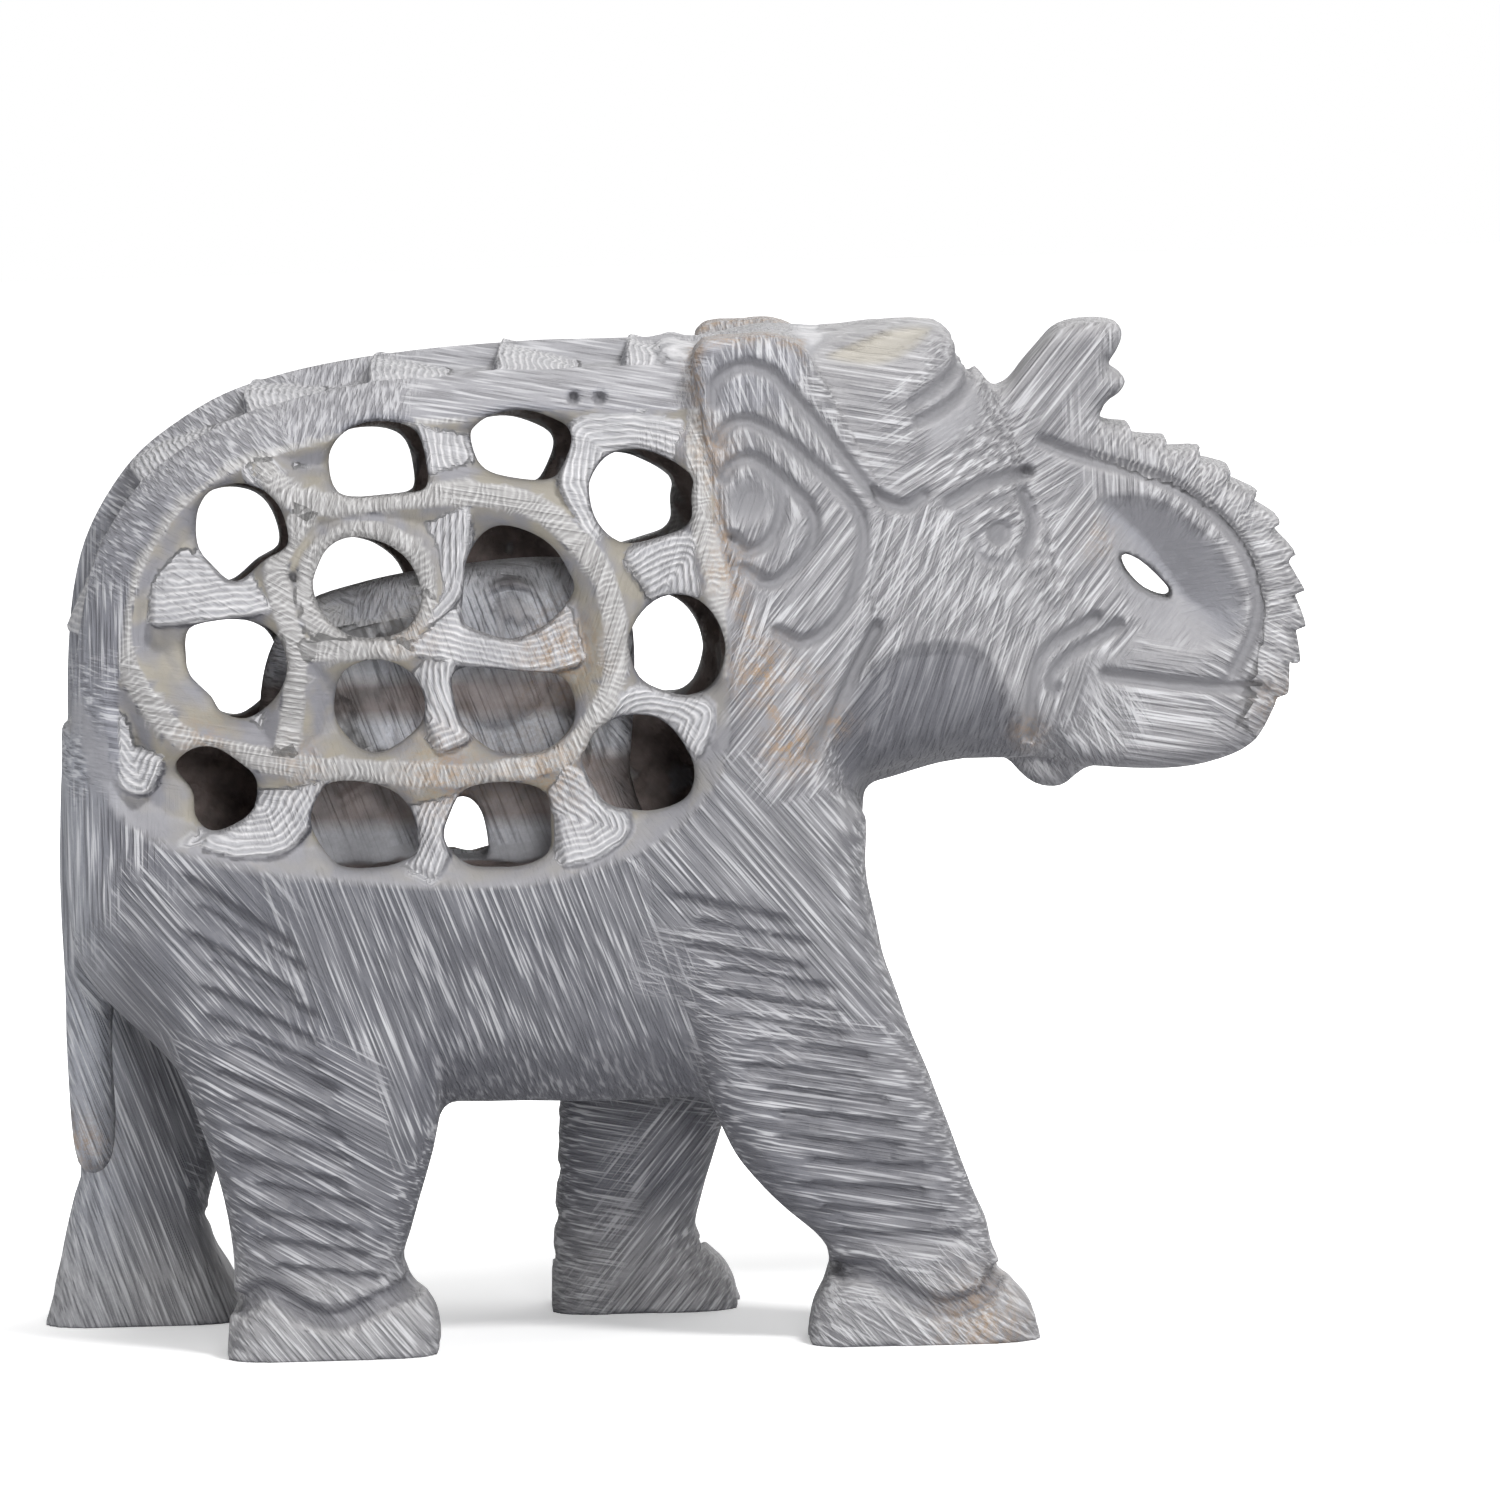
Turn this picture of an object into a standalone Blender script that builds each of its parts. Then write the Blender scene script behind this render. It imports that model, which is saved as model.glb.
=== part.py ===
# A soapstone elephant, pierced and undercut, with a second, small elephant left standing inside it.
# One block of stone makes one solid. The carving is worked out as a distance field: every form is a
# side outline with a width, the cuts are taken away from it, and a node tree turns it into a mesh.
import math

import bpy
import numpy as np
from mathutils import Matrix, Vector

# Driving sizes, in millimetres. The figure faces +X and its feet stand on Z = 0.
HEIGHT = 100.5
BODY_WIDTH = 52.0
LEG_WIDTH = 18.0
WALL = 6.0
CAVITY_FLOOR = 48.0
CAVITY_FRONT = 6.0
CAVITY_EDGE = 8.0
CALF_WIDTH = 14.0
CALF_EAR_STEP = 0.7
TRUNK_WIDTH = 17.0
TAIL_WIDTH = 7.4
HEAD_WIDTH = 43.0
EAR_STEP = 0.6
BELLY_TUCK = 4.5
RELIEF_DEPTH = 2.8
RIDGE_WIDTH = 2.0
GROOVE_WIDTH = 1.5
GROOVE_DEPTH = 1.0
NECK_DEPTH = 1.2
SCOOP_DEPTH = 1.1
TOOTH_PITCH = 3.6
TOOTH_HEIGHT = 1.3
TOOTH_REACH = 4.0
TOE_WIDTH = 2.2
TOE_DEPTH = 0.9
HOLE_GROWTH = 0.2
PARTING_WIDTH = 3.0
PARTING_DEPTH = 1.6

# The outlines below are drawn on a figure this high, and grow or shrink with HEIGHT.
DRAWN_HEIGHT = 100.5
DRAWN_WIDTH = 52.0
SCALE = HEIGHT / DRAWN_HEIGHT
SIDE = BODY_WIDTH / DRAWN_WIDTH

GRID_STEP = 0.7
FACET_COUNT = 9600
MILLIMETRE = 0.001

# Side outlines, X and Z
BODY = [(-60.2, 45), (-60.6, 60), (-60.3, 70), (-59.2, 78), (-57, 84), (-53, 89.5), (-48, 93.5),
        (-42, 96.3), (-34, 98.3), (-24, 99.6), (-12, 100.2), (0, 100.2), (10, 99.8), (18, 99.5),
        (22, 90), (20.5, 62), (19.5, 48), (20, 38), (16, 28), (8, 25), (-5, 24.3), (-20, 24.6),
        (-35, 25), (-46, 27), (-54, 33), (-59, 39)]
NEAR_HIND_LEG = [(-57, 48), (-56, 42), (-53, 36), (-50, 30), (-47, 22), (-45, 14), (-44.4, 8.5),
                 (-45, 4), (-45.4, 0), (-45.4, -4), (-24.8, -4), (-24.2, 0), (-24.5, 4), (-26.3, 7),
                 (-27.6, 9), (-26.8, 12), (-25.3, 17), (-23.9, 22), (-23.6, 26), (-25.2, 31),
                 (-27.4, 36), (-30.2, 41), (-34, 46.6), (-40, 53), (-50, 55)]
FAR_HIND_LEG = [(-60.5, 48), (-60.8, 30), (-60.8, 20), (-61.8, 14), (-63.5, 7), (-64.4, 3),
                (-64.4, -4), (-45.7, -4), (-45.5, 2), (-46.5, 5), (-48, 8), (-48.5, 12),
                (-46.5, 18), (-44, 26), (-40, 36), (-40, 50)]
NEAR_FRONT_LEG = [(-2, 50), (-0.6, 40), (1.6, 32), (3, 26), (5.5, 20), (8, 16.5), (11, 13.3),
                  (14, 10.5), (15, 8.5), (14.6, 6), (13.4, 3.5), (12.8, 0), (12.8, -4), (35.4, -4),
                  (35.7, 1), (35, 3.5), (33, 6), (31.5, 8.8), (30.9, 11.5), (29.5, 15), (26.7, 23),
                  (23.8, 31), (21, 39), (19.3, 46), (19, 52), (14, 60), (4, 60)]
FAR_FRONT_LEG = [(-13, 50), (-12.3, 35), (-12.3, 18), (-13, 8), (-13.4, 0), (-13.4, -4), (5.4, -4),
                 (5.6, 1), (4.5, 4), (2.6, 6), (1.6, 8), (2.3, 11), (3.6, 15.5), (5, 20), (8, 30),
                 (10, 45), (5, 55)]
TAIL = [(-57, 63), (-60.5, 61), (-61.8, 50), (-61.6, 36), (-61.5, 24), (-60.8, 18), (-58.8, 17),
        (-57.2, 20), (-57, 32), (-55, 45), (-53, 60)]
HEAD = [(0, 98), (4, 99.5), (10, 100.8), (14, 100.6), (17, 100.4), (22, 101), (26.5, 101.2),
        (29, 100.4), (30.8, 98.3), (31.9, 96.5), (33.4, 94.8), (36, 90), (38, 85), (41, 79),
        (44, 75), (46, 71), (46, 66), (43, 60), (41, 57.2), (30, 57.2), (20, 55), (14, 54),
        (4, 60), (0, 75)]
LIP = [(33, 59.5), (34.6, 56.8), (37.2, 54.3), (40.2, 54.2), (41.8, 57), (40, 61)]
TRUNK = [(34.4, 92), (36.2, 95.5), (38.4, 98.2), (40.6, 100.3), (43.8, 100.9), (46.5, 100.5),
         (47, 99.4), (46.4, 97.9), (45.6, 96.4), (47.2, 95), (46.6, 93.5), (45, 91.4),
         (50.4, 88.8), (54.7, 87.2), (59, 84), (62.2, 80.2), (63.9, 75.8), (64.6, 71), (63.8, 66),
         (62, 61.6), (59, 57.8), (54.6, 56), (49, 55.6), (44, 56), (40, 57), (36, 62), (38, 70),
         (38, 80)]
TRUNK_DISH = [(44, 82), (47.5, 83.5), (52, 82), (57, 77), (59, 71), (56.5, 67.5), (50, 67.5),
              (46.5, 72)]
TRUNK_HOLE = [(46.4, 77.4), (48.6, 76.6), (51.4, 73.6), (51, 72.6), (48.6, 73.4), (46.6, 75.6)]
EAR = [(4, 99.8), (9, 101), (12, 101), (14.5, 99.8), (16.5, 97), (18.5, 93), (20.5, 89),
       (22.3, 85.2), (22, 80), (21, 75.5), (21.5, 72), (19, 66.5), (17, 61.5), (15.3, 58.6),
       (13.5, 59.2), (11.7, 61.5), (10.2, 66), (8.6, 72), (7, 78), (5.8, 84), (4.9, 91)]
LATTICE = [(7, 66), (6, 58), (1, 52), (-6, 48.5), (-14, 46.8), (-24, 46.8), (-34, 47.8),
           (-44, 49.5), (-52, 52.5), (-57, 57), (-60, 63), (-68, 68), (-68, 108), (14, 108),
           (14, 95), (8, 80)]
CALF = [(-39.5, 45), (-41, 52), (-41.2, 60), (-40.6, 67), (-38.8, 71.6), (-35.8, 74.4), (-31, 75.9),
        (-26, 76.9), (-20, 77.6), (-14, 78.1), (-9, 77.8), (-5.6, 76), (-3.6, 73), (-3, 69),
        (-3.2, 63), (-3.8, 56), (-4.2, 45)]
CALF_EAR = [(-20.4, 66), (-20.2, 71), (-18.6, 74.8), (-15.8, 76.6), (-12.4, 75.8), (-10.4, 72.6),
            (-10.6, 68), (-13, 63.6), (-17, 61.6), (-19.6, 63)]
CALF_GAP = [(-23.6, 43), (-23.6, 49), (-22.8, 52.8), (-20.9, 54.6), (-19, 53.4), (-18.2, 49.6),
            (-18.2, 43)]

# Flat-topped ridges of the lattice, drawn on the flank
RIDGES = [
    [(2, 95), (-10, 95.5), (-20, 94.5), (-30, 93.5), (-40, 91), (-46, 88), (-50, 84), (-53, 79),
     (-54, 73), (-53, 69), (-50, 64.5), (-47, 62), (-43, 61), (-37, 59.5), (-30, 58.7),
     (-20, 58), (-15, 58.5), (-10, 60), (-7, 63), (-5, 67), (-4.5, 71), (-5.5, 77), (-8, 81),
     (-12, 84.5), (-17, 86), (-25, 86), (-33, 85.5), (-37, 86.5), (-39, 89)],
    [(-35, 85), (-38, 80), (-37.5, 75), (-36.5, 71), (-37, 65), (-38, 60)],
    [(-37, 71), (-30, 71), (-26, 70.8)],
    [(4.5, 95), (4, 85), (5.5, 77), (7, 68)],
    [(-23.4, 76.2), (-24.6, 80.4), (-29.2, 82.6), (-33.8, 80.6), (-35.2, 77), (-33.9, 73),
     (-29.5, 71.2), (-25.4, 72.6), (-23.4, 76.2)],
]

# Holes through the wall of each flank, and those that only the left flank has
HOLES = [
    [(-46, 84.1), (-45.5, 85.6), (-44.4, 86.8), (-41.9, 87.4), (-39.3, 86.7), (-37.7, 84.7),
     (-37.2, 81.6), (-39.5, 80.1), (-42.4, 78), (-44.6, 79.7), (-45.9, 81.5)],
    [(-32.6, 89.6), (-32.1, 91.1), (-30.8, 92.4), (-28.5, 93.2), (-25.6, 93), (-23.9, 91.9),
     (-23.2, 89.3), (-23.3, 86.9), (-25.8, 86.4), (-30.7, 86.2), (-32.2, 87.2)],
    [(-18.4, 91.4), (-17.9, 92.6), (-16.2, 93.6), (-13.5, 94), (-11.1, 93.4), (-8.7, 91.7),
     (-9.7, 88.5), (-11, 87.4), (-14.2, 87.6), (-17.3, 88.7)],
    [(-6.7, 85.8), (-6.4, 87.4), (-5.1, 89.1), (-3.2, 89.8), (-0.5, 89.5), (3.1, 87.4),
     (3.1, 85.3), (2.9, 82.6), (0.2, 81.4), (-2.9, 80.8), (-4.8, 81.5), (-6.2, 83.4)],
    [(-3.2, 70.6), (-2.7, 72.3), (-1.7, 73.7), (0.1, 75), (2.3, 75.2), (4.2, 74.3), (5.6, 72.3),
     (6.1, 69.6), (5, 66.5), (2.7, 65.4), (0.3, 65.9), (-2.2, 67.3)],
    [(-22.1, 51.5), (-21.3, 54.4), (-20.2, 56.2), (-18.5, 56.9), (-15.9, 57.1), (-13.4, 56.6),
     (-12, 55.4), (-11.8, 52.8), (-12, 50.2), (-14.1, 48.9), (-17, 48.7), (-20, 49.1)],
    [(-35.4, 53.5), (-34, 57), (-31.7, 57.6), (-28.6, 57.1), (-26.6, 55.8), (-25.3, 53.4),
     (-25.2, 50.6), (-26.8, 49.5), (-28.9, 49), (-31.4, 49), (-33.4, 49.8)],
    [(-47.2, 72.8), (-47.4, 70.6), (-47, 68.6), (-45, 66.5), (-44.2, 65.1), (-42.5, 64.3),
     (-40.9, 64.6), (-38.7, 66.5), (-37.6, 69.4), (-38.8, 72.7), (-42.5, 73.9), (-45.8, 73.6)],
    [(-34.5, 77.1), (-33.9, 79.2), (-32.9, 80.9), (-31.3, 81.8), (-29.3, 81.8), (-27, 81),
     (-25, 79.2), (-24, 76.2), (-24.9, 73.6), (-26.7, 72.3), (-29.5, 72), (-31.5, 72.5),
     (-33.6, 74.5)],
    [(-32.7, 65.5), (-31.9, 68.2), (-30.1, 69.4), (-28, 69.6), (-26, 68.8), (-24.5, 67),
     (-24, 64.9), (-24.9, 62.7), (-28, 60.7), (-30.3, 61), (-32.3, 63.2)],
    [(-20.7, 68.1), (-17.8, 68.5), (-14.7, 68.1), (-11.2, 67.7), (-9.4, 66.2), (-9.2, 63),
     (-11.7, 60.5), (-14.9, 60), (-17.4, 60.6), (-19.8, 62.8), (-20.7, 65.3)],
]
LEFT_HOLES = [
    [(-8.1, 58.9), (-7.6, 60.4), (-6.6, 62.1), (-5.1, 63), (-2.9, 63.4), (-0.5, 62.9), (1.6, 60.7),
     (2.7, 57.7), (1.9, 55.2), (-0.7, 54.1), (-3.1, 54.1), (-6.1, 55)],
    [(-48.7, 59.4), (-47.6, 60.9), (-46.1, 61.4), (-44.6, 61.2), (-42.8, 60), (-41.3, 58.6),
     (-41, 57), (-41.8, 54.7), (-45.1, 53.1), (-46.8, 54.4), (-47.1, 57)],
    [(-19.3, 78.6), (-18.7, 80.2), (-17.4, 81.9), (-15.5, 82.6), (-12.8, 81.8), (-10.7, 80.3),
     (-9.3, 77.9), (-8.9, 76), (-11.1, 73.3), (-13.6, 71.9), (-15.5, 71.6), (-18.1, 72.4),
     (-19.6, 73.4), (-19.5, 76.2)],
]

# The lattice of the right flank lies this much farther along X and Z than the left one's
RIGHT_OFFSET = (-2.4, -2.4)

# Sloped pads between the holes: the line of each crest, which the pad falls away from on its
# right-hand side, and how far the slope reaches
PADS = [
    ([(-38.5, 85.6), (-40.3, 87), (-41.3, 89), (-41.4, 91.5), (-39.5, 94)], 8),
    ([(-37.5, 75.2), (-42, 74.6), (-46, 74.2), (-50.5, 74)], 7),
    ([(-36, 67.5), (-36.2, 64.5), (-37.4, 61.2)], 5),
    ([(-33.6, 58.6), (-34, 56.4), (-36.2, 52.9), (-38.5, 51), (-42, 50.6), (-46, 51.6)], 7),
    ([(-18.6, 57.8), (-19.4, 55.4), (-21.2, 52), (-23, 48.2)], 6),
    ([(-9.8, 58.8), (-6.5, 56.6), (-4.2, 53.7), (-4.3, 51.5), (-7.2, 49.5), (-10, 48.9)], 7),
    ([(-6.5, 62.4), (-5, 65), (-2.5, 66.4), (1.9, 65.6), (4.6, 64.2), (4.6, 62.2), (3.4, 59.6)], 6),
    ([(-3.2, 79.5), (0.1, 81.2), (3.1, 81.4), (5, 79.6), (5.6, 75.6)], 7),
    ([(-6.7, 81.2), (-8.4, 83.9), (-9.6, 86.8), (-9.1, 89.8), (-8.6, 92.2), (-6.6, 93.4),
      (-1.6, 93.4), (2.6, 92.6)], 7),
    ([(-23.1, 88.4), (-23.6, 91), (-23.9, 93), (-24.3, 95)], 7),
    ([(-50.3, 60), (-51.4, 57.6), (-53, 57.2), (-54.8, 58.4), (-56.4, 60.6), (-58, 62.6)], 6),
    ([(-18.9, 84.5), (-19.3, 80), (-19.6, 76.8), (-21.8, 74.2), (-25.5, 71.8)], 6),
    ([(-8.5, 69), (-12, 68.2), (-15, 68.1), (-20, 69.3), (-26, 70.6)], 12),
    ([(-20.6, 70), (-21.1, 67), (-20, 64.2), (-19.6, 61.8), (-22.3, 60.6)], 6),
]

# The strip over rump and back: crest and foot of each pad, along the back from the tail root
BACK_PADS = [(3, 10), (17, 25), (35, 44), (49, 57), (62, 70), (75, 83), (88, 96)]
BACK_START = (-60.8, 56)

# Grooves of ear, brow, cheek and trunk
GROOVES = [
    [(5.8, 94.5), (6.2, 96.8), (8.9, 98.2), (11.4, 97.4), (13, 95.7), (17.1, 90.7), (20.2, 86.4),
     (22.2, 84.3), (24.8, 83.4), (26.5, 84.5)],
    [(6.2, 90.6), (7, 92), (8.9, 92.7), (11.2, 91.7), (13.3, 90.1), (17, 86.7), (19.9, 83.2),
     (20.3, 79.5), (18.5, 74), (16, 71.2), (13.8, 70.4), (11.5, 71.6)],
    [(6.6, 87), (7.4, 88.3), (9.5, 88.9), (11.8, 87.2), (15.2, 83.5), (15.2, 80.3), (13.2, 77.7),
     (10.8, 76.4), (8.4, 78)],
    [(10.8, 87.6), (12.3, 85.4), (11.9, 82.6), (10.6, 80.4), (8.6, 79.6), (7.4, 81.2)],
    [(21.5, 71.5), (18, 65), (14.6, 59.2)],
    [(29, 83.6), (33, 85.4), (37, 86)],
    [(36.5, 84), (37.5, 81), (36.5, 78)],
    [(43.7, 71.1), (41.5, 70), (39, 68.7), (37.3, 66), (36.5, 59.6)],
    [(45.9, 70.3), (43.5, 68.9), (40.8, 67.5), (38.9, 65.5), (39.3, 64.1)],
    [(38.7, 89), (41.7, 87.7), (46, 86.4), (50.4, 84.9), (54.5, 82.3), (57.8, 79), (59.6, 75.5),
     (60.1, 72), (59.2, 68.5), (57.4, 65.2)],
    [(44.5, 65.3), (52, 64.2), (60.5, 63.5)],
    [(25.6, 93.6), (27.8, 95), (30, 96.8), (31, 98.9)],
    [(26.2, 91.9), (28.7, 93.1), (30.9, 94.9), (31.6, 97.4)],
]
EYE = (34, 80.3)
EYE_RADIUS = 1.4
EAR_PIT = (9.1, 84.6)
EAR_PIT_RADIUS = 2.2

# The recessed side of the neck, and the scoop on each side of the crown
NECK = [(15.5, 60), (17.5, 64), (20, 67), (24, 69.4), (28.6, 69.9), (32.1, 68.7), (34.6, 64.8),
        (36.2, 60), (36.5, 54), (20, 52)]
CROWN_SCOOP = [(16.8, 98.5), (21.5, 97.4), (25.2, 98.4), (28, 101), (24, 101.2), (20.4, 100.2)]

# The head's width along X, as a share of HEAD_WIDTH
HEAD_TAPER = [(5, 1), (22, 0.98), (30, 0.86), (36, 0.7), (44, 0.5), (60, 0.4)]

# The edge of the raised trunk that is cut into saw teeth
TRUNK_EDGE = [(44.6, 91.2), (50.4, 88.8), (54.7, 87.2), (59, 84), (62.2, 80.2), (63.9, 75.8),
              (64.6, 71), (63.8, 66), (62, 61.6)]

# A wavy groove marks the toes of each foot
TOES = {
    "left": [[(-43.8, 5.4), (-41, 7), (-38, 5), (-34, 4), (-30, 5.6), (-27, 6.6)],
             [(16.5, 7.4), (19, 7.4), (22, 5.4), (26, 3.6), (30, 4.4), (31.5, 6.2)]],
    "right": [[(-61.5, 5.5), (-58, 7), (-54, 4.6), (-50, 5.4)],
              [(-12, 5.5), (-8, 7), (-4, 4.6), (1, 5.6)]],
}

# The belly draws in between these heights
BELLY_TOP = 47.0
BELLY_FOOT = 25.0

# The furrow between the domes of the head: from the nape to the brow, and its lowest point
NAPE = 12.0
BROW = 33.0
PARTING_FOOT = 92.0


def clear_scene():
    for thing in list(bpy.data.objects):
        bpy.data.objects.remove(thing)


def smooth_curve(points, closed=False, pieces=4):
    """A rounded curve through the points."""
    line = np.array(points, dtype=float)
    if closed:
        line = np.vstack([line[-1], line, line[0], line[1]])
    else:
        line = np.vstack([2 * line[0] - line[1], line, 2 * line[-1] - line[-2]])
    result = []
    for before, start, end, after in zip(line, line[1:], line[2:], line[3:]):
        for step in range(pieces):
            t = step / pieces
            result.append(0.5 * (2 * start + (end - before) * t
                                 + (2 * before - 5 * start + 4 * end - after) * t ** 2
                                 + (3 * start - before - 3 * end + after) * t ** 3))
    if not closed:
        result.append(line[-2])
    return np.array(result)


def path_distance(points, x, z):
    """Distance to a drawn line, and how far along the line the nearest point is."""
    line = smooth_curve(points)
    nearest = np.full(np.broadcast(x, z).shape, np.inf)
    along = np.zeros(nearest.shape)
    travelled = 0.0
    for (ax, az), (bx, bz) in zip(line, line[1:]):
        length = math.hypot(bx - ax, bz - az)
        t = np.clip(((x - ax) * (bx - ax) + (z - az) * (bz - az)) / length ** 2, 0, 1)
        distance = np.hypot(x - ax - t * (bx - ax), z - az - t * (bz - az))
        closer = distance < nearest
        along = np.where(closer, travelled + t * length, along)
        nearest = np.minimum(nearest, distance)
        travelled += length
    return nearest, along


def outline_distance(points, x, z):
    """Distance to a closed outline, negative inside it."""
    line = smooth_curve(points, closed=True)
    nearest = np.full(np.broadcast(x, z).shape, np.inf)
    inside = np.zeros(nearest.shape, dtype=bool)
    for (ax, az), (bx, bz) in zip(line, np.roll(line, -1, axis=0)):
        dx, dz = bx - ax, bz - az
        t = np.clip(((x - ax) * dx + (z - az) * dz) / (dx * dx + dz * dz), 0, 1)
        nearest = np.minimum(nearest, np.hypot(x - ax - t * dx, z - az - t * dz))
        if dz != 0:
            crossing = ((az > z) != (bz > z)) & (x < ax + (z - az) * dx / dz)
            inside ^= crossing
    return np.where(inside, -nearest, nearest)


def rounded(a, b, radius):
    """The part shared by two forms, with its edge rounded."""
    return (np.sqrt(np.maximum(a + radius, 0) ** 2 + np.maximum(b + radius, 0) ** 2)
            + np.minimum(np.maximum(a + radius, b + radius), 0) - radius)


def joined(a, b, blend):
    """Two forms as one, flowing into each other."""
    overlap = np.maximum(blend - np.abs(a - b), 0) / blend
    return np.minimum(a, b) - overlap ** 2 * blend / 4


def cut(form, tool, edge):
    """A form with a tool's shape taken away, its rim eased."""
    return -joined(-form, tool, edge)


def furrow(distance, width, depth):
    """Depth of a soft-edged groove at a distance from its middle."""
    return depth * np.exp(-(1.6 * distance / width) ** 2)


class Block:
    """The block of stone as a grid of points, in drawn millimetres."""

    def __init__(self, step):
        low = np.array([-66.0, -29.5, -2.0])
        high = np.array([66.0, 29.5, 104.0])
        self.count = np.round((high - low) / step).astype(int) + 1
        self.low = low
        self.high = low + (self.count - 1) * step
        axes = [np.linspace(a, b, n, dtype=np.float32)
                for a, b, n in zip(self.low, self.high, self.count)]
        self.x = axes[0][:, None, None]
        self.y = axes[1][None, :, None]
        self.z = axes[2][None, None, :]


def slab(block, outline, half_width, radius, middle=0.0):
    side = outline_distance(outline, block.x, block.z)
    return rounded(side, np.abs(block.y - middle) - half_width, radius)


def trunk_and_body(block):
    x, y, z = block.x, block.y, block.z
    half = DRAWN_WIDTH / 2
    edge = np.interp(z, [20, 40, 60, 84], [6, 9, 12, 15])
    tuck = np.clip((BELLY_TOP - z) / (BELLY_TOP - BELLY_FOOT), 0, 1)
    body = slab(block, BODY, half - BELLY_TUCK * tuck ** 1.5, edge)
    side = 1.0 + half - LEG_WIDTH / 2
    flare = 1.4 * np.exp(-(z / 4.5) ** 2)
    for outline, middle in ((NEAR_HIND_LEG, -side), (NEAR_FRONT_LEG, -side),
                            (FAR_HIND_LEG, side), (FAR_FRONT_LEG, side)):
        leg = slab(block, outline, LEG_WIDTH / 2 - 0.8 + flare, 5.0, middle)
        body = joined(body, leg, 2.0)
    tail = slab(block, TAIL, TAIL_WIDTH / 2, 2.0, 1.0)
    return joined(body, tail, 1.5)


def head(block):
    x, z = block.x, block.z
    half = HEAD_WIDTH / 2 * np.interp(x, *smooth_curve(HEAD_TAPER).T)
    form = slab(block, HEAD, half, np.minimum(8.0, half - 1))
    jaw = slab(block, LIP, 5.0, 1.5)
    form = joined(form, jaw, 1.0)
    side = outline_distance(TRUNK, x, z) - trunk_teeth(x, z)
    trunk = rounded(side, np.abs(block.y) - TRUNK_WIDTH / 2, 2.4)
    return joined(form, trunk, 2.0)


def trunk_teeth(x, z):
    """How far the saw teeth stand out from the edge of the trunk, or are cut into it."""
    distance, along = path_distance(TRUNK_EDGE, x, z)
    tooth = (along / TOOTH_PITCH) % 1 - 0.6
    return TOOTH_HEIGHT * tooth * np.clip(1 - distance / TOOTH_REACH, 0, 1) * (along > 0)


def lattice_depth(x, z):
    """How deep the flank is cut back, apart from the holes."""
    border = np.clip(-outline_distance(LATTICE, x, z) * 0.9, 0, RELIEF_DEPTH)
    height = np.full(border.shape, -RELIEF_DEPTH)
    for line in RIDGES:
        distance = path_distance(line, x, z)[0]
        height = np.maximum(height, -np.maximum(distance - RIDGE_WIDTH / 2, 0) * 1.1)
    for crest, reach in PADS:
        fall, past = pad_fall(crest, x, z)
        slope = np.maximum(fall, 0) * RELIEF_DEPTH / reach
        height = np.maximum(height, -slope - np.maximum(-fall, 0) * 4 - past * 2)
    return np.minimum(-height, border), border


def pad_fall(crest, x, z):
    """How far down the slope from its crest a place lies, and how far past the crest's ends."""
    line = smooth_curve(crest)
    nearest = np.full(np.broadcast(x, z).shape, np.inf)
    fall = np.zeros(nearest.shape)
    past = np.zeros(nearest.shape)
    last = len(line) - 2
    for number, ((ax, az), (bx, bz)) in enumerate(zip(line, line[1:])):
        length = math.hypot(bx - ax, bz - az)
        ux, uz = (bx - ax) / length, (bz - az) / length
        along = (x - ax) * ux + (z - az) * uz
        on_line = np.clip(along, 0, length)
        distance = np.hypot(x - ax - on_line * ux, z - az - on_line * uz)
        right = (x - ax) * uz - (z - az) * ux
        beyond = np.maximum(-along * (number == 0), (along - length) * (number == last))
        closer = distance < nearest
        fall = np.where(closer, np.sign(right) * distance, fall)
        past = np.where(closer, np.maximum(beyond, 0), past)
        nearest = np.minimum(nearest, distance)
    return fall, past


def back_depth(block, side_depth, border, body_side):
    """The strip over rump and back, between the two rings, is cut in its own steps."""
    x, y, z = block.x, block.y, block.z
    spine = [BACK_START] + BODY[2:12]
    along = path_distance(spine, x, z)[1]
    height = np.full(along.shape, -RELIEF_DEPTH * 0.85)
    for crest, foot in BACK_PADS:
        fall = along - crest
        ramp = -np.maximum(fall, 0) * RELIEF_DEPTH * 0.85 / (foot - crest)
        height = np.maximum(height, ramp - np.maximum(-fall, 0) * 3)
    height = np.maximum(height, -np.maximum(np.abs(y) - 0.8, 0) * 1.1)
    height = np.maximum(height, -np.maximum(18.5 - np.abs(y), 0) * 1.1)
    strip = np.clip((body_side + 7.5) / 2.5, 0, 1)
    return side_depth * (1 - strip) + np.minimum(-height, border) * strip


def hole_tools(outlines, x, z):
    tool = np.full(np.broadcast(x, z).shape, np.inf)
    for outline in outlines:
        tool = np.minimum(tool, outline_distance(outline, x, z))
    return tool - HOLE_GROWTH


def calf(block):
    """The smaller elephant that stands in the hollow, with a gap between its legs."""
    body = slab(block, CALF, CALF_WIDTH / 2, 4.0)
    body = cut(body, outline_distance(CALF_GAP, block.x, block.z), 1.0)
    return joined(body, slab(block, CALF_EAR, CALF_WIDTH / 2 + CALF_EAR_STEP, 1.0), 0.8)


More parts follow.
